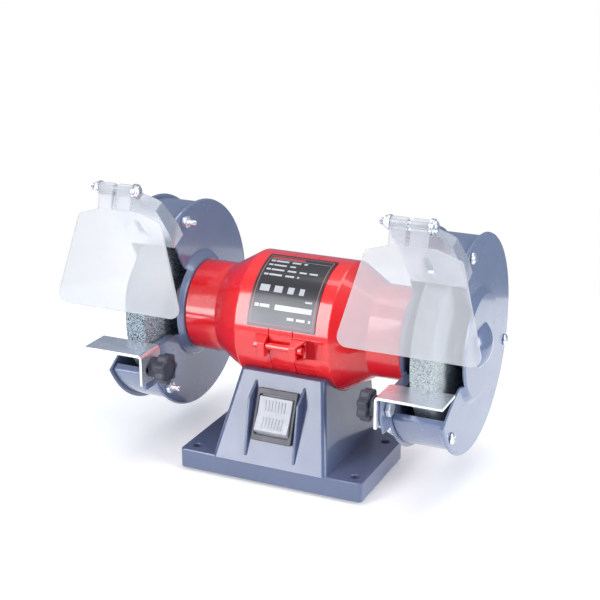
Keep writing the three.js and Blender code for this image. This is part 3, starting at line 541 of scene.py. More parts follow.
def printed_film(name):
    """The rating plate: black at the top fading to silver, a border and plain bars for print."""
    finish = Finish(name, Coat_Weight=0.4, Coat_Roughness=0.15)
    split = finish.add("SeparateXYZ", {"Vector": finish.add("TexCoord").outputs["UV"]})
    across, up = split.outputs[0], split.outputs[1]

    def inside(value, low, high):
        above = finish.maths("GREATER_THAN", value, low)
        return finish.maths("MULTIPLY", above, finish.maths("LESS_THAN", value, high))

    def box(u0, u1, v0, v1):
        return finish.maths("MULTIPLY", inside(across, u0, u1), inside(up, v0, v1))

    brushed = finish.noise(400, 3, (0.3, 6, 6))
    fade = finish.spread(up, 0, 1, 0.04, 0.5)
    silver = finish.blend(brushed, (0.10, 0.104, 0.122, 1), (0.15, 0.155, 0.18, 1))
    colour = finish.blend(fade, silver, (0.012, 0.012, 0.016, 1))
    words = finish.noise(230, 0, (1, 0.001, 0.001))
    gaps = finish.maths("GREATER_THAN", words, 0.44)
    bars = [finish.maths("MULTIPLY", box(*bar), gaps) for bar in PRINT_BARS]
    bars += [box(*bar) for bar in SOLID_BARS]
    printed = bars[0]
    for bar in bars[1:]:
        printed = finish.maths("MAXIMUM", printed, bar)
    colour = finish.blend(printed, colour, (0.50, 0.51, 0.55, 1))
    frame_line = finish.maths("SUBTRACT", box(*BORDER[0]), box(*BORDER[1]))
    colour = finish.blend(frame_line, colour, (0.30, 0.12, 0.14, 1))
    finish.set("Base_Color", finish.blend(box(*HEADING), colour, (0.55, 0.03, 0.04, 1)))
    finish.set("Metallic", finish.spread(fade, 0.3, 0.0, 0, 1))
    finish.gloss(finish.noise(50, 3), 0.36, 0.46)
    return finish.material


def glazed_rocker(name):
    """Frosted translucent plastic."""
    finish = Finish(name, Subsurface_Weight=0.25, Subsurface_Scale=0.004, Coat_Weight=0.3)
    mottle = finish.spread(finish.noise(180, 3), 0, 1)
    finish.set("Base_Color", finish.blend(mottle, (0.36, 0.375, 0.42, 1), (0.43, 0.445, 0.49, 1)))
    finish.gloss(finish.noise(400, 2), 0.3, 0.45)
    finish.bump(finish.noise(900, 2), 0.15, 0.0003)
    return finish.material


FINISHES = {
    "guard_paint": (paint, (0.16, 0.205, 0.33), 0.24, 0.8, 0.2),
    "base_plastic": (paint, (0.09, 0.12, 0.22), 0.33, 0.7),
    "motor_paint": (paint, (0.82, 0.004, 0.008), 0.28, 1.0),
    "zinc": (plated, (0.84, 0.87, 0.93), 0.26, 90, 0.85),
    "steel": (turned_steel, (0.56, 0.57, 0.59), 0.3),
    "plate_steel": (plated, (0.50, 0.51, 0.53), 0.35, 40),
    "black_plastic": (moulded, (0.034, 0.038, 0.058), 0.42),
    "rubber": (moulded, (0.02, 0.02, 0.021), 0.75, 900, 0.25),
    "bezel_plastic": (moulded, (0.085, 0.085, 0.10), 0.4),
    "rocker_plastic": (glazed_rocker,),
    "stone_left": (abrasive, (0.035, 0.045, 0.060), (0.50, 0.59, 0.66), 0.60),
    "stone_right": (abrasive, (0.24, 0.28, 0.29), (0.62, 0.68, 0.69), 0.53),
    "clear_plastic": (clear_plastic,),
    "winding": (turned_steel, (0.60, 0.26, 0.10), 0.4),
    "iron": (laminations, (0.28, 0.28, 0.30)),
    "label": (printed_film,),
    "capacitor": (moulded, (0.72, 0.72, 0.69), 0.4),
    "terminal": (moulded, (0.76, 0.74, 0.68), 0.55),
}
MATERIALS = {name: make(name, *values) for name, (make, *values) in FINISHES.items()}


def add(target, name, slot, *nodes, body="grinder_frame", sharp=40):
    """Names a finished shape, shades it smooth between sharp edges, hangs it on its body, and hides the CAD
    nodes that it stands in for.
    """
    mesh = target.data
    target.name = mesh.name = name
    mesh.materials.clear()
    mesh.materials.append(MATERIALS[slot])
    mesh.polygons.foreach_set("use_smooth", [True] * len(mesh.polygons))
    mesh.set_sharp_from_angle(angle=radians(sharp))
    modifier = target.modifiers.new("normals", "WEIGHTED_NORMAL")
    modifier.keep_sharp = True
    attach(target, body)
    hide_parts(*nodes)


def finish_hidden_nodes():
    """Gives the CAD nodes that stay, most of them inside the machine, their slot's material."""
    for part in frame["record"]["subparts"]:
        node = frame["nodes"][part["node"]]
        node.data.materials.clear()
        node.data.materials.append(MATERIALS[part["material_slot"]])


# ---- base

PLINTH = {"half": 71.7, "front": -69, "side_end": 9.7, "arc_centre": -68, "top": 17, "foot": 2, "wall": 2.5}
PEDESTAL = {"foot": (44.7, -69, 28), "head": (33, -45, 42), "top": 78, "corner": 3.2}
BOLT_HOLES = [(side * x, y) for x, y in ((62.5, -59), (61.4, 3.8)) for side in (-1, 1)]
BOLT_HOLE_RADIUS = 3
BOLT_BOSS_RADIUS = 6
FOOT_PAD = {"radius": 8, "top": 1.65}
# The gland's closed section, as how far out and its radius.
GLAND = [(-6, 3), (-6, 5), (0.9, 5), (0.9, 8, 0.6), (3, 8, 0.8), (4.4, 6.6, 0.8), (12, 4.8, 0.8), (12, 3)]
FINS_AT = 19
SWITCH_Z = 50
# Half the width and half the height of the bezel's window, flange and body.
BEZEL = {"window": (13.4, 14.5), "flange": (15.75, 19), "body": (14.2, 16.5)}
ROCKER = {"crown": 5, "pivot": -2, "radius": 14, "valley": 3.6, "half": 13, "turned": -7}
RIBS = {"count": 7, "pitch": 2.5, "half": 0.55, "reach": (2.2, 10.2)}


def plinth_plan(amount=0, corner=3):
    """The D-shaped plan of the plinth: square at the front, an arc at the back."""
    half, front, end = PLINTH["half"] - amount, PLINTH["front"] + amount, PLINTH["side_end"]
    rise = end - PLINTH["arc_centre"]
    start = degrees(atan2(rise, half))
    back = arc((0, PLINTH["arc_centre"]), hypot(half, rise), start, 180 - start, 40)
    corners = [(-half, end), (-half, front, corner), (half, front, corner), (half, end)]
    return rounded(corners, 5, False)[1:-1] + back


def pedestal_section(z, amount):
    """The pedestal's rounded rectangle at a height."""
    rise = (z - PLINTH["top"]) / (PEDESTAL["top"] - PLINTH["top"])
    half, front, rear = (low + (high - low) * rise for low, high in zip(PEDESTAL["foot"], PEDESTAL["head"]))
    u, v0, v1 = half - amount, front + amount, rear - amount
    return [(*point, z) for point in rectangle(-u, u, v0, v1, PEDESTAL["corner"], 5)]


FRONT_SLOPE = (PEDESTAL["head"][1] - PEDESTAL["foot"][1]) / (PEDESTAL["top"] - PLINTH["top"])


def front_y(z):
    """The place of the pedestal's sloping front at a height."""
    return PEDESTAL["foot"][1] + FRONT_SLOPE * (z - PLINTH["top"])


def pedestal_block():
    """The pedestal as a solid block that narrows upward, with a softened top edge."""
    bottom, top = PLINTH["top"], PEDESTAL["top"]
    levels = ((bottom - 1, 0), (bottom, 0), (top - 0.8, 0), (top - 0.25, 0.25), (top, 0.8))
    data = bmesh.new()
    made = [[data.verts.new(point) for point in pedestal_section(z, amount)] for z, amount in levels]
    for low, high in zip(made, made[1:]):
        bridge(data, low, high)
    data.faces.new(made[0])
    data.faces.new(made[-1])
    bmesh.ops.recalc_face_normals(data, faces=data.faces)
    return to_object(data, UPRIGHT)


def switch_fin(x):
    """A thin blade beside the switch, tallest near its top."""
    top, peak, foot = 72, 63, 21
    side = [(front_y(top) + 1.5, top), (front_y(top), top), (front_y(peak) - 9, peak, 2)]
    side += [(front_y(foot) - 1, foot, 0.8), (front_y(foot) + 1.5, foot)]
    return prism(rounded(side), x - 1, x + 1, ALONG_X, 0.45)


def build_base():
    holes = [circle(at, BOLT_HOLE_RADIUS, 28) for at in BOLT_HOLES]
    plinth = prism(plinth_plan(), PLINTH["foot"], PLINTH["top"], UPRIGHT, 1.1, holes, 3)
    hollow = prism(plinth_plan(PLINTH["wall"], 1), 0, PLINTH["top"] - PLINTH["wall"], UPRIGHT, 0)
    bosses = []
    for at, hole in zip(BOLT_HOLES, holes):
        bosses.append(prism(circle(at, BOLT_BOSS_RADIUS, 28), 4, 15, UPRIGHT, 0, [hole]))
    cradle = prism(circle((0, AXIS_Z), MOTOR_RADIUS + GAP, FINE), -60, 60, ALONG_X, 0)
    pedestal = cut(pedestal_block(), cradle)
    fins = [switch_fin(x) for x in (-FINS_AT, FINS_AT)]
    shell = join(cut(plinth, hollow), pedestal, *bosses, *fins)
    add(shell, "base_shell", "base_plastic", "base_housing", sharp=30)
    build_switch()
    for end in ("front", "rear"):
        for side, _ in SIDES:
            node = f"foot_{end}_{side}"
            centre = middle(node)
            pad = rod(FOOT_PAD["radius"], 0, FOOT_PAD["top"], UPRIGHT, (centre.x, centre.y), 0.5)
            add(pad, f"pad_{end}_{side}", "rubber", node)
    low, high = size("cord_gland")
    centre = (low + high) / 2
    behind = GLAND[0][0]
    place = basis((1, 0, 0), (0, 0, -1), (0, 1, 0), (centre.x, low.y - behind, centre.z))
    gland = lathe(rounded(GLAND), place, SMALL)
    add(gland, "gland", "black_plastic", "cord_gland")


def build_switch():
    """The rocker switch, drawn in the plane of the sloping front."""
    lean = atan(FRONT_SLOPE)
    up, out = (0, sin(lean), cos(lean)), (0, -cos(lean), sin(lean))
    face = basis((1, 0, 0), up, out, (0, front_y(SWITCH_Z), SWITCH_Z))
    window = centred(*BEZEL["window"], 0.8)
    flange = prism(centred(*BEZEL["flange"], 1.2), GAP, 2.8, face, 0.7, [window], 3)
    body = prism(centred(*BEZEL["body"], 0.5), -16, 0.8, face, 0.2, [window])
    add(join(flange, body), "switch_frame", "bezel_plastic", "switch_bezel")
    pivot, radius, valley = ROCKER["pivot"], ROCKER["radius"], ROCKER["valley"]
    rise = ROCKER["crown"] - pivot
    reach = sqrt(radius**2 - rise**2)
    start = degrees(atan2(rise, reach))
    side = [(-9, -7), (9, -7)] + arc((0, pivot), radius, 0, start, 6) + [(0, valley)]
    side += arc((0, pivot), radius, 180 - start, 180, 6)
    tilt = Matrix.Translation(face.to_3x3() @ Vector((0, 0, pivot))) @ face
    turned = Matrix.Rotation(radians(ROCKER["turned"]), 4, "X")
    rocker_frame = tilt @ turned @ Matrix.Translation((0, 0, -pivot))
    rocker = prism(side, -ROCKER["half"], ROCKER["half"], rocker_frame @ ALONG_X, 0.6, steps=3)
    slope = atan2(ROCKER["crown"] - valley, reach)
    ribs = []
    for way in (-1, 1):
        plane = rocker_frame @ Matrix.Translation((0, 0, valley)) @ Matrix.Rotation(way * slope, 4, "X")
        ends = sorted(way * v for v in RIBS["reach"])
        for k in range(RIBS["count"]):
            x = RIBS["pitch"] * (k - (RIBS["count"] - 1) / 2)
            bar = rectangle(x - RIBS["half"], x + RIBS["half"], *ends, 0.4)
            ribs.append(prism(bar, -0.5, 0.45, plane, 0.25))
    add(join(rocker, *ribs), "rocker_cap", "rocker_plastic", "switch_rocker", body="rocker", sharp=30)


# ---- motor

# A bolt lug: along the motor, away from its axis, and up.
LUG = {"inner": 9.5, "face": 14.5, "outer": 20, "recess": 5, "front": 55}
LUG.update({"top": 2, "front_top": -2.4, "bottom": -12.5})
THROUGH_BOLT = {"radius": 2.4, "at": 50.8, "z": -5.2, "head": 2.8, "head_length": 3.5}
PLATE = {"low": 8.5, "high": 84, "lift": 0.75, "sheet": 0.4}
# Each end bell's closed section, as how far from the motor's middle and its radius.
SEAM = 9.45
BELL_END = 84.3
BELL_OUTSIDE = [(SEAM, 44.6), (SEAM, MOTOR_RADIUS, 0.25), (36.7, MOTOR_RADIUS, 3)]
BELL_NECK = [(59.3, 34, 3), (BELL_END, 34, 0.8)]
BELL_SEAT = [(BELL_END, 9), (81.3, 9), (81.3, 16.3), (70, 16.3), (70, 19.3), (81.3, 19.3)]
BELL_INSIDE = [(81.3, 31), (58.3, 31), (35.7, 44.6)]
BAND = {"half": 9.15, "inner": 25, "outer": 44.3}


def bolt_lug(side, end, place):
    """A boss for a through bolt: narrow at its front, sloping on top, with a recess for the bolt's head."""
    root, barrel, front = MOTOR_RADIUS - 3, MOTOR_RADIUS, LUG["front"]
    inner, face, outer = LUG["inner"], LUG["face"], LUG["outer"]
    top, front_top, bottom = LUG["top"], LUG["front_top"], LUG["bottom"]
    plan = [(inner, root), (inner, front, 0.8), (face, front, 0.8), (outer, barrel), (outer, root)]
    seen_above = rounded([(end * c[0], side * c[1], *c[2:]) for c in plan], 4)
    body = prism(seen_above, bottom - 2, top + 2, Matrix.Translation((0, 0, AXIS_Z)), 0)
    profile = [(root, top), (barrel, top, 1.5), (front, front_top, 0.9)]
    profile += [(front, bottom, 0.8), (root, bottom)]
    near, far, floor = barrel + 0.2, front - 1.2, bottom + 1.4
    pocket = [(near, top - 1.4), (far, front_top - 1, 0.6), (far, floor, 0.6), (near, floor)]

    def along_the_motor(corners, w0, w1):
        seen_from_the_end = rounded([(side * c[0], *c[1:]) for c in corners], 4)
        return prism(seen_from_the_end, end * w0, end * w1, place, 0)

    lug = common(body, along_the_motor(profile, inner - 1, outer + 1))
    return cut(soften(lug, 0.35, 40), along_the_motor(pocket, outer - LUG["recess"], outer + 1))


def build_motor():
    motor = Matrix.Translation((0, 0, AXIS_Z)) @ ALONG_X
    radius, at, up = THROUGH_BOLT["radius"], THROUGH_BOLT["at"], THROUGH_BOLT["z"]
    for name, end in SIDES:
        section = rounded(BELL_OUTSIDE + BELL_NECK + BELL_SEAT + BELL_INSIDE, 4)
        shell = lathe([(end * w, r) for w, r in section], motor)
        lugs = []
        for side in (-1, 1):
            lug = bolt_lug(side, end, motor)
            inside = prism(circle((0, 0), MOTOR_RADIUS - 1, 64), -41, 41, motor, 0)
            ring = prism(circle((0, 0), MOTOR_RADIUS + GAP, FINE), -SEAM, SEAM, motor, 0)
            bolt = rod(radius + 0.2, -30, 30, motor, (side * at, up), 0)
            lugs.append(cut(lug, inside, ring, bolt))
        bell = join(shell, *lugs)
        add(bell, f"bell_{name}", "motor_paint", f"end_bell_{name}", sharp=25)
    half = size("stator_core")[1].x
    seam, inner, outer = BAND["half"], BAND["inner"], BAND["outer"]
    drum = [(-half, inner), (-half, outer), (-seam, outer), (-seam, MOTOR_RADIUS, 0.25)]
    drum += [(seam, MOTOR_RADIUS, 0.25), (seam, outer), (half, outer), (half, inner)]
    stator = lathe(rounded(drum, 3), motor)
    add(stator, "stator_band", "motor_paint", "stator_core", sharp=25)
    seat = LUG["outer"] - LUG["recess"] + GAP
    head_radius, tip = THROUGH_BOLT["head"], seat + THROUGH_BOLT["head_length"]
    for name, side in (("front", -1), ("rear", 1)):
        centre = (side * at, up)
        shank = rod(radius, -18, 18, motor, centre, 0.3)
        head = rod(head_radius, seat, tip, motor, centre, 0.5, 32)
        nut = hexagon(head_radius, -tip, -seat, motor, centre)
        tie = join(shank, head, nut)
        add(tie, f"tie_{name}", "motor_paint", f"through_bolt_{name}")
    build_plate(motor)


def build_plate(motor):
    """The rating plate, with a UV map that runs across it and up it."""
    low, high = size("rating_plate")
    columns, rows = 12, 40
    width, rise = high.x - low.x, PLATE["high"] - PLATE["low"]
    points = []
    for j in range(rows + 1):
        edge = ahead(MOTOR_RADIUS + PLATE["lift"], PLATE["low"] + rise * j / rows)
        points.append([(*edge, low.x + width * i / columns) for i in range(columns + 1)])
    sheet = facing(grid(points, motor), lambda point: Vector((0, -1, 1)))
    layer = sheet.data.uv_layers.new(name="plate")
    for polygon in sheet.data.polygons:
        for corner in polygon.loop_indices:
            place = sheet.data.vertices[sheet.data.loops[corner].vertex_index].co / MM
            angle = degrees(atan2(place.z - AXIS_Z, -place.y))
            layer.data[corner].uv = ((place.x - low.x) / width, (angle - PLATE["low"]) / rise)
    film = thicken(sheet, PLATE["sheet"], 0.12)
    add(film, "plate_film", "label", "rating_plate")


# ---- wheels

WHEEL_BORE = 6.35
NUT = {"radius": 10.8, "bore": 6.3}
# A wheel flange: its thickness, the step inside the rim that grips the stone, and its radii.
WHEEL_FLANGE = {"thick": 4, "relief": 1.2, "inner": 14, "outer": 20, "back": 18}


def build_wheel(name, out):
    wheel = station(out)
    half, rim, bore = WHEEL_HALF, WHEEL_RADIUS, NUT["bore"]
    section = [(-half, WHEEL_BORE), (-half, rim, 1.0), (half, rim, 1.0), (half, WHEEL_BORE)]
    stone = lathe(rounded(section, 4), wheel)
    add(stone, f"stone_{name}", f"stone_{name}", f"grinding_wheel_{name}", body="rotor_assembly")
    inner, outer = WHEEL_FLANGE["inner"], WHEEL_FLANGE["outer"]
    for side, span in (("inner", -out), ("outer", out)):
        face = span * (half + GAP)
        back = face + span * WHEEL_FLANGE["thick"]
        relief = face + span * WHEEL_FLANGE["relief"]
        section = [(relief, bore), (relief, inner), (face, inner + 1, 0.4), (face, outer, 0.6)]
        section += [(back, WHEEL_FLANGE["back"], 1.2), (back, bore)]
        washer = lathe(rounded(section, 3), wheel, 64)
        add(washer, f"washer_{side}_{name}", "steel", f"{side}_flange_{name}", body="rotor_assembly")
    low, high = size(f"spindle_nut_{name}")
    nut = hexagon(NUT["radius"], low.x - out * WHEEL_X, high.x - out * WHEEL_X, wheel, bore=bore)
    add(nut, f"lock_nut_{name}", "steel", f"spindle_nut_{name}", body="rotor_assembly")


# ---- guards

# The edges of the discs' front opening, as the radius and the angle above straight ahead.
UPPER_EDGE = ((38.5, 57), (61.8, 57.7), (65.9, 61.5), (66.2, 66.7), (72.2, 68), (80.5, 65))
COVER_LOWER_EDGE = ((39, -29), (55.8, -26.4), (77.5, -27.9), (85.2, -28.3))
REST_EDGE = 14.6  # how far below the axis the inner disc's edge runs, under the rest
# The radii of a disc's rings between its boss and its rim.
SHEET_RINGS = [50, 61.8, 65.9, 66.2, 72.2, 76, 77.2, 78.0, 78.6, 79]
BENDS_END = 46  # the radius outside which a disc is flat up to its rim
RIM_CURL = {"left": 0.6, "right": 2.0}  # how the rims of the discs that face left and right are rolled
DOME = {"radius": 16, "height": 7}
# The faces of the discs' sheets and the faces of their bosses, out from the wheel's middle.
INNER_FACE, COVER_FACE = -19.5, 19.6
INNER_BOSS, COVER_BOSS = 84.6 - WHEEL_X, 23.6


def between(table, radius):
    """The value at a radius, between the (radius, value) points of a table."""
    if radius <= table[0][0]:
        return table[0][1]
    for (r0, a0), (r1, a1) in zip(table, table[1:]):
        if radius <= r1:
            return a0 + (a1 - a0) * (radius - r0) / (r1 - r0)
    return table[-1][1]


def inner_lower_angle(radius):
    """The lower end of the inner disc's opening at a radius: level, under the rest."""
    return -degrees(asin(min(1, REST_EDGE / radius)))


def plain_edge(angle):
    return GUARD_RADIUS


def ear_edge(angle):
    """The radius of the inner disc's edge, with the ear for the tool rest, at an angle."""
    below = -((angle + 180) % 360 - 180)
    if not 5 < below < 34:
        return GUARD_RADIUS
    turn = radians(below)
    ear = min(87 / cos(turn), 42.5 / sin(turn), 101.5 / (cos(turn) + 0.48 * sin(turn)))
    return max(GUARD_RADIUS, ear)


def guard_disc(out, place_of, lower_angle, edge, radii, boss_radius, place):
    """One side of a guard: a full boss, and round it a sheet that is open at the front."""
    columns, opening = 250, 30
    boss_rings = [r for r in radii if r < boss_radius - 0.3] + [boss_radius]
    beyond = [r for r in radii if r > boss_radius + 0.3] + SHEET_RINGS
    start, end = between(UPPER_EDGE, boss_radius), 360 + lower_angle(boss_radius)
    sector = [start + (end - start) * k / columns for k in range(columns + 1)]
    front = [end + (start + 360 - end) * k / opening for k in range(1, opening)]
    data = bmesh.new()
    rings = []
    for radius in boss_rings:
        points = [(*ahead(max(radius, 0.01), angle), place_of(radius)) for angle in sector + front]
        rings.append([data.verts.new(point) for point in points])
    for inner, outer in zip(rings, rings[1:]):
        bridge(data, inner, outer)
    last = rings[-1][: columns + 1]
    for ring_radius in beyond:
        share = (ring_radius - boss_radius) / (GUARD_RADIUS - boss_radius)
        ring = []
        for k, angle in enumerate(sector):
            for _ in range(4):  # the radius and the angle settle on each other
                radius = boss_radius + share * (edge(angle) - boss_radius)
                low, high = between(UPPER_EDGE, radius), 360 + lower_angle(radius)
                angle = low + (high - low) * k / columns
            drop = edge(angle) - GUARD_RADIUS if share > 0.8 else 0
            ring.append(data.verts.new((*ahead(radius, angle), place_of(radius - drop))))
        bridge(data, last, ring, False)
        last = ring
    sheet = facing(to_object(data, place), lambda point: Vector((out, 0, 0)))
    return thicken(sheet, SHEET, 0.4)


def disc_face(out, bends):
    """A function from a radius to the place of a disc's face, which curls toward the wheel at its rim."""
    face = bends[-1][1]
    away = copysign(1, face)
    curl = RIM_CURL["right" if away * out > 0 else "left"]

    def place_of(radius):
        if radius < BENDS_END:
            return out * between(bends, radius)
        over = max(radius - (GUARD_RADIUS - curl), 0)
        return out * (face - away * (curl - sqrt(max(curl**2 - over**2, 0))))

    return place_of


def build_inner_disc(name, out):
    face, boss, bore = INNER_FACE, INNER_BOSS, 9.5
    wheel = station(out)
    bends = rounded([(bore, boss), (35.5, boss, 1.6), (40, face, 2.2), (BENDS_END, face)], 6, False)
    rings = [bore, 20, 30] + [r for r, _ in bends[1:-1]] + [44]
    disc = guard_disc(-out, disc_face(out, bends), inner_lower_angle, ear_edge, rings, 38.5, wheel)
    ledge = rectangle(-62, -38, -REST_EDGE - SHEET, -REST_EDGE, 0.3)
    shelf = prism(ledge, out * (face + 0.2), out * (face + 7.5), wheel, 0.3)
    hole = rod(REST_BOLT_RADIUS + GAP, -30, 30, wheel, REST_BOLT, 0)
    plate = cut(join(disc, shelf), hole)
    add(plate, f"side_plate_{name}", "guard_paint", f"guard_inner_{name}", sharp=30)


def build_cover(name, out):
    face, boss = COVER_FACE, COVER_BOSS
    radius, height = DOME["radius"], DOME["height"]
    sphere = (radius**2 + height**2) / (2 * height)
    dome = []
    for k in range(12):
        r = radius * k / 12
        dome.append((r, boss + height - sphere + sqrt(sphere**2 - r**2)))
    flat = [(radius, boss, 1.2), (37.5, boss, 1.8), (41.5, face, 2.0), (BENDS_END, face)]
    bends = rounded(dome + flat, 7, False)
    rings = [0, 2] + [r for r, _ in bends[1:-1] if r > 2.5] + [44]

    def lower_angle(radius):
        return between(COVER_LOWER_EDGE, radius)

    disc = guard_disc(out, disc_face(out, bends), lower_angle, plain_edge, rings, 39, station(out))
    add(disc, f"cover_plate_{name}", "guard_paint", f"guard_cover_{name}", sharp=30)


def on_bracket(up, back):
    """A point of the bracket's plane in u and v: up from its foot and back from its front face."""
    lean = radians(BRACKET_LEAN)
    u = BRACKET_FOOT[0] - sin(lean) * up + cos(lean) * back
    return u, BRACKET_FOOT[1] + cos(lean) * up + sin(lean) * back


def build_band(name, out):
    """The rim of the guard: a rolled strip, folded at both ends and flared into the disc on its right."""
    lower, upper, lip = -29, 64, 70
    tab = SHEET + GAP
    start = lower - 3
    bend = [ahead(lip, lower), (*ahead(BAND_RADIUS, lower), 1.6), ahead(BAND_RADIUS + 0.3, lower - 5)]
    bend = rounded(bend, 5, False)
    count = 110
    sweep = [ahead(BAND_RADIUS, start - (360 + start - upper) * k / count) for k in range(count + 1)]
    fold = rounded([sweep[-1], (*on_bracket(16.5, tab), 2), on_bracket(1, tab)], 5, False)
    left, right = -18 + GAP, 18.1 - GAP
    widths = [left, left + 4, 0, right - 5, right - 3, right - 2, right - 1.2, right - 0.5, right]
    flare = [0, 0, 0, 0, 0.12, 0.45, 1.0, 1.8, 2.4]
    rows = []
    for i, (u, v) in enumerate(bend[:-1] + sweep + fold[1:]):
        rolled = len(bend) <= i < len(bend) + count
        grown = [1 + rolled * amount / hypot(u, v) for amount in flare]
        rows.append([(u * g, v * g, w) for w, g in zip(widths, grown)])
    sheet = grid(rows, station(out))
    sheet = facing(sheet, lambda point: Vector((0, point.y, point.z - AXIS_Z * MM)))
    strip = thicken(sheet, SHEET, 0.3)
    add(strip, f"rim_{name}", "guard_paint", f"guard_band_{name}", sharp=35)


def build_cover_screws(name, out):
    wheel = station(out)
    face, back = out * 19.9, -out * 19.8
    head = [(0, 0), (0, 4.2, 0.3), (1.2, 4.1, 0.8), (2.4, 2.4, 1.0), (2.6, 0)]
    head = rounded([(face + out * c[0], *c[1:]) for c in head], 4)
    for i, angle in enumerate(COVER_SCREWS["angles"]):
        at = ahead(COVER_SCREWS["radius"], angle)
        screw = lathe(head, wheel @ Matrix.Translation((*at, 0)), 36)
        screw = cut(screw, cross_recess(at, face + out * 1.2, face + out * 3, wheel))
        shank = threaded(2, back - out * 10, face + out * 0.4, wheel, at)
        nut = hexagon(4.5, back - out * 3.8, back, wheel, at, bore=1.6)
        whole = join(screw, shank, nut)
        add(whole, f"screw_{name}_{i + 1}", "zinc", f"cover_screw_{name}_{i + 1}")


# ---- shields and brackets

# The bracket's side flange, as the points of its bends in the bracket's plane.
FLANGE_LINE = ((20.4, 0), (20.4, 12), (15.5, 34), (4.2, 45), (4.2, 57))
EARS = {"left": (-24.6, -23.1), "right": (4.2, 5.7)}
SHIELD = {"middle": -4.7, "sheet": 2.2, "top": (-68, 86.8), "bottom": (-76, 14)}
SHIELD_HALF = {"top": 14.5, "shoulder": 33.5, "bottom": 52}
KNUCKLES = ((-22.7, -11.5), (-8, 3.8))
PIVOT_RADIUS = 2.4
KNUCKLE_RADIUS = 4.4


def build_bracket(name, out):
    """The bracket in its own plane: a slotted plate, a side flange and a small left ear."""
    plane = bracket_plane(out)
    side = plane @ ALONG_X
    bend_radius = (0, 3, 3, 3, 0)
    inside = [(u, v, radius) for (u, v), radius in zip(FLANGE_LINE, bend_radius)]
    outside = [(u + SHEET, v, radius) for u, v, radius in inside][::-1]
    strip = prism(rounded(inside + outside, 4), -17, 8, plane, 0)
    view = [(0, 0), (0, -15), (36.7, -9.6), (47, -5)] + arc((HINGE_UP, 0), 5.4, 235, 505, 20) + [(44, 0)]
    flange = common(strip, prism(view, 0, 30, side, 0))
    lobe = [(36, 0), (36, -SHEET), (46, -4)] + arc((HINGE_UP, 0), 5, 235, 505, 20) + [(45, 0)]
    left_ear = prism(lobe, *EARS["left"], side, 0)
    slant = radians(SLOT_SLANT)
    slot = []
    for u, v in arc((0, 12), 2.5, 0, 180, 10) + arc((0, -3), 2.5, 180, 360, 10):
        up = u * sin(slant) + v * cos(slant) + ADJUST_BOLT_UP
        slot.append((u * cos(slant) - v * sin(slant), up))
    plate = rounded([(-16.2, 0, 1), (21, 0), (21, 12), (16.2, 34), (5, 45), (-24.6, 45)])
    face = prism(plate, -SHEET, 0, plane, 0, [slot])
    pivot = rod(PIVOT_RADIUS + GAP, -40, 40, side, (HINGE_UP, 0), 0)
    bracket = soften(cut(join(face, flange, left_ear), pivot), 0.3, 40)
    add(bracket, f"hinge_plate_{name}", "zinc", f"shield_bracket_{name}", body=f"{name}_bracket", sharp=30)
    at = (0, ADJUST_BOLT_UP)
    behind = -2 * SHEET - 2 * GAP
    head = hexagon(4.4, GAP, 3.6, plane, at)
    shank = threaded(2, behind - 4, 1, plane, at)
    nut = hexagon(3.9, behind - 2.4, behind, plane, at)
    screw = join(head, shank, nut)
    add(screw, f"clamp_screw_{name}", "zinc", f"bracket_bolt_{name}")


def pivot_frame(out):
    """The frame of a shield's pivot: u back, v up and w along the pivot."""
    back, up = on_bracket(HINGE_UP, 0)
    return Matrix.Translation((out * WHEEL_X, back, AXIS_Z + up)) @ ALONG_X


def build_pivot(name, pivot):
    """The cross-head bolt of a shield's pivot, and its nut."""
    body = f"{name}_bracket"
    seat = EARS["right"][1] + GAP
    shank = threaded(PIVOT_RADIUS, -30.5, seat + 0.2, pivot)
    head = [(0, 0), (0, 5.4, 0.25), (0.8, 5.4, 0.25), (0.8, 4.2), (2.2, 4, 0.8), (3.2, 2.4, 0.8), (3.2, 0)]
    head = lathe(rounded([(seat + c[0], *c[1:]) for c in head], 4), pivot, 40)
    screw = cut(head, cross_recess((0, 0), seat + 1.6, seat + 4, pivot, 2.4, 0.9))
    add(join(screw, shank), f"pivot_screw_{name}", "zinc", f"shield_pivot_bolt_{name}", body=body)
    ear = EARS["left"][0] - GAP
    nut = hexagon(4.4, ear - 2.4, ear, pivot, bore=PIVOT_RADIUS + 0.2)
    add(nut, f"pivot_lock_{name}", "zinc", f"pivot_nut_{name}", body=body)


def build_shield(name, out):
    pivot = pivot_frame(out)
    build_pivot(name, pivot)
    back, up = on_bracket(HINGE_UP, 0)
    top, bottom = Vector(SHIELD["top"]), Vector(SHIELD["bottom"])
    height = (top - bottom).length
    rise = (top - bottom).normalized()
    foot = (out * WHEEL_X + SHIELD["middle"], bottom.x, AXIS_Z + bottom.y)
    pane_frame = basis((1, 0, 0), (0, rise.x, rise.y), (0, -rise.y, rise.x), foot)
    right = [(SHIELD_HALF["bottom"], 0, 7), (SHIELD_HALF["shoulder"], height - 6, 4)]
    right.append((SHIELD_HALF["top"], height, 5))
    left = [(-u, v, radius) for u, v, radius in right]
    edge = [left[0]] + right + left[:0:-1]
    pane = prism(rounded(edge, 6), 0, SHIELD["sheet"], pane_frame, 0.5, steps=3)
    reach = top.x - back - SHIELD["sheet"]
    low = top.y - up - 4
    strap = [(reach + 0.1, low), (reach + 1.9, low), (-1.2, -2.6), (-1.2, 2.6), (-KNUCKLE_RADIUS, 0)]
    parts = []
    for span in KNUCKLES:
        parts.append(rod(KNUCKLE_RADIUS, *span, pivot, (0, 0), 0.5))
        parts.append(prism(strap, *span, pivot, 0.2))
    shield = cut(join(pane, *parts), rod(PIVOT_RADIUS + GAP, -40, 40, pivot, (0, 0), 0))
    add(shield, f"screen_{name}", "clear_plastic", f"eye_shield_{name}", body=f"{name}_shield", sharp=30)


# ---- tool rests

REST = {"inner": -21.8, "outer": 25.5, "front": -91, "back": -65, "top": -12, "foot": -35, "sheet": 2}


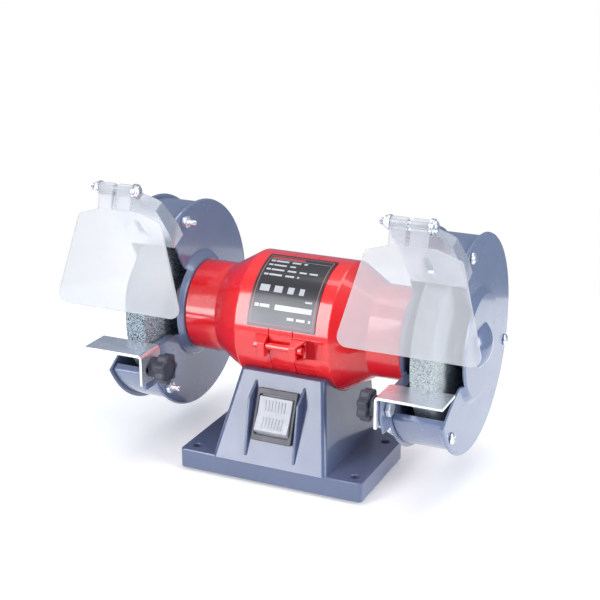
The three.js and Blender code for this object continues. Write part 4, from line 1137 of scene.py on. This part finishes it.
def build_rest(name, out):
    wheel = station(out)
    inner, outer, top, thick = REST["inner"], REST["outer"], REST["top"], REST["sheet"]
    corners = [(inner, REST["foot"]), (inner, top, 3), (outer, top), (outer, top - thick)]
    corners += [(inner + thick, top - thick, 1), (inner + thick, REST["foot"])]
    folded = rounded([(out * c[0], *c[1:]) for c in corners], 5)
    lying = wheel @ basis((0, 0, 1), (0, 1, 0), (-1, 0, 0))
    rest = prism(folded, -REST["back"], -REST["front"], lying, 0.35)
    u, v = REST_BOLT
    radius = REST_BOLT_RADIUS + GAP
    slot = arc((u - 6.5, v), radius, 90, 270, 10) + arc((u + 5.5, v), radius, -90, 90, 10)
    window = prism(slot, out * (inner - 1), out * (inner + thick + 1), wheel, 0)
    add(cut(rest, window), f"table_{name}", "zinc", f"tool_rest_{name}", body=f"{name}_rest")
    seat = out * (INNER_FACE + SHEET + GAP)
    head = hexagon(5.5, seat, seat + out * 3.6, wheel, REST_BOLT)
    shank = threaded(REST_BOLT_RADIUS, seat + out, -out * 33, wheel, REST_BOLT, 1.0)
    add(join(head, shank), f"rest_screw_{name}", "zinc", f"rest_bolt_{name}")
    build_knob(name, out, wheel)


def build_knob(name, out, wheel):
    """The lobed knob on the rest's bolt, with its collar toward the rest and a dish in its end."""
    points = 20 * KNOB["lobes"]
    outline = []
    for k in range(points):
        turn = 2 * pi * k / points
        radius = KNOB["radius"] + KNOB["lobe"] * cos(KNOB["lobes"] * turn)
        outline.append(polar(radius, turn, REST_BOLT))
    inner, outer = KNOB["inner"], KNOB["outer"]
    knob = prism(outline, -out * inner, -out * outer, wheel, 1.4, steps=4)
    collar = rod(COLLAR["radius"], -out * COLLAR["inner"], -out * COLLAR["outer"], wheel, REST_BOLT, 0.5)
    dish = rod(7.2, -out * (outer - 0.7), -out * (outer + 0.7), wheel, REST_BOLT, 0)
    bore = rod(REST_BOLT_RADIUS + GAP, -out * 21, -out * 34, wheel, REST_BOLT, 0)
    grip = cut(join(knob, collar), dish, bore)
    add(grip, f"grip_{name}", "black_plastic", f"rest_knob_{name}", body=f"{name}_knob")


# ---- stage

CAMERA_PLACE = (0.3794, -0.8467, 0.4380)
CAMERA_TARGET = (-0.0064, 0, 0.1195)
CAMERA_LENS = 80.3
CAMERA_SENSOR = 36
LIGHT_TARGET = (0, 0, 0.1)
TABLE_RADIUS = 0.47


def aim(name, data, place, point):
    """Adds a camera or a light that looks at a point."""
    made = bpy.data.objects.new(name, data)
    bpy.context.scene.collection.objects.link(made)
    made.location = place
    direction = Vector(point) - made.location
    made.rotation_euler = direction.to_track_quat("-Z", "Y").to_euler()
    return made


def add_camera():
    data = bpy.data.cameras.new("camera")
    data.lens = CAMERA_LENS
    data.sensor_width = CAMERA_SENSOR
    bpy.context.scene.camera = aim("camera", data, CAMERA_PLACE, CAMERA_TARGET)


def softbox(name, place, width, height, power):
    data = bpy.data.lights.new(name, "AREA")
    data.shape = "RECTANGLE"
    data.size = width
    data.size_y = height
    data.energy = power
    aim(name, data, place, LIGHT_TARGET)


def add_floor():
    """A round pale table under the object."""
    table = prism(circle((0, 0), TABLE_RADIUS / MM, 96), -20, 0, UPRIGHT, 2)
    table.name = "floor"
    finish = Finish("floor", Roughness=0.6, Emission_Color=(1, 1, 1, 1), Emission_Strength=0.24)
    grain = finish.spread(finish.noise(30, 3), 0, 1)
    finish.set("Base_Color", finish.blend(grain, (0.86, 0.865, 0.87, 1), (0.90, 0.90, 0.905, 1)))
    table.data.materials.append(finish.material)


def add_world():
    """A pale room that lights the object, bluer below, and plain white where the camera sees it."""
    world = bpy.data.worlds.new("studio")
    bpy.context.scene.world = world
    world.use_nodes = True
    tree = world.node_tree
    tree.nodes.clear()

    def add_node(kind, **inputs):
        node = tree.nodes.new("ShaderNode" + kind)
        for key, value in inputs.items():
            if isinstance(value, bpy.types.NodeSocket):
                tree.links.new(value, node.inputs[key])
            else:
                node.inputs[key].default_value = value
        return node

    split = add_node("SeparateXYZ", Vector=add_node("TexCoord").outputs["Generated"])
    ramp = add_node("ValToRGB", Fac=split.outputs[2])
    below, above = ramp.color_ramp.elements
    below.position, below.color = 0.40, (0.40, 0.48, 0.63, 1)
    above.position, above.color = 0.85, (0.95, 0.97, 1.0, 1)
    seen = add_node("LightPath").outputs["Is Camera Ray"]
    room = add_node("Background", Color=ramp.outputs["Color"], Strength=0.55)
    backdrop = add_node("Background", Color=(1, 1, 1, 1), Strength=1.0)
    mix = add_node("MixShader")
    for socket, value in zip(mix.inputs, (seen, room.outputs[0], backdrop.outputs[0])):
        tree.links.new(value, socket)
    add_node("OutputWorld", Surface=mix.outputs[0])


add_camera()
add_world()
add_floor()
softbox("strip_left", (-0.62, -1.25, 0.62), 0.42, 1.5, 16)
softbox("overhead", (0.1, 0.15, 1.5), 1.1, 1.1, 10)
softbox("fill_right", (1.4, -0.35, 0.6), 0.7, 1.0, 16)
bpy.context.scene.view_settings.view_transform = "Standard"

# ---- the grinder

finish_hidden_nodes()
build_base()
build_motor()
GUARD_BUILDERS = (build_inner_disc, build_cover, build_band, build_cover_screws)
for side_name, side_sign in SIDES:
    for build in (build_wheel, *GUARD_BUILDERS, build_bracket, build_shield, build_rest):
        build(side_name, side_sign)
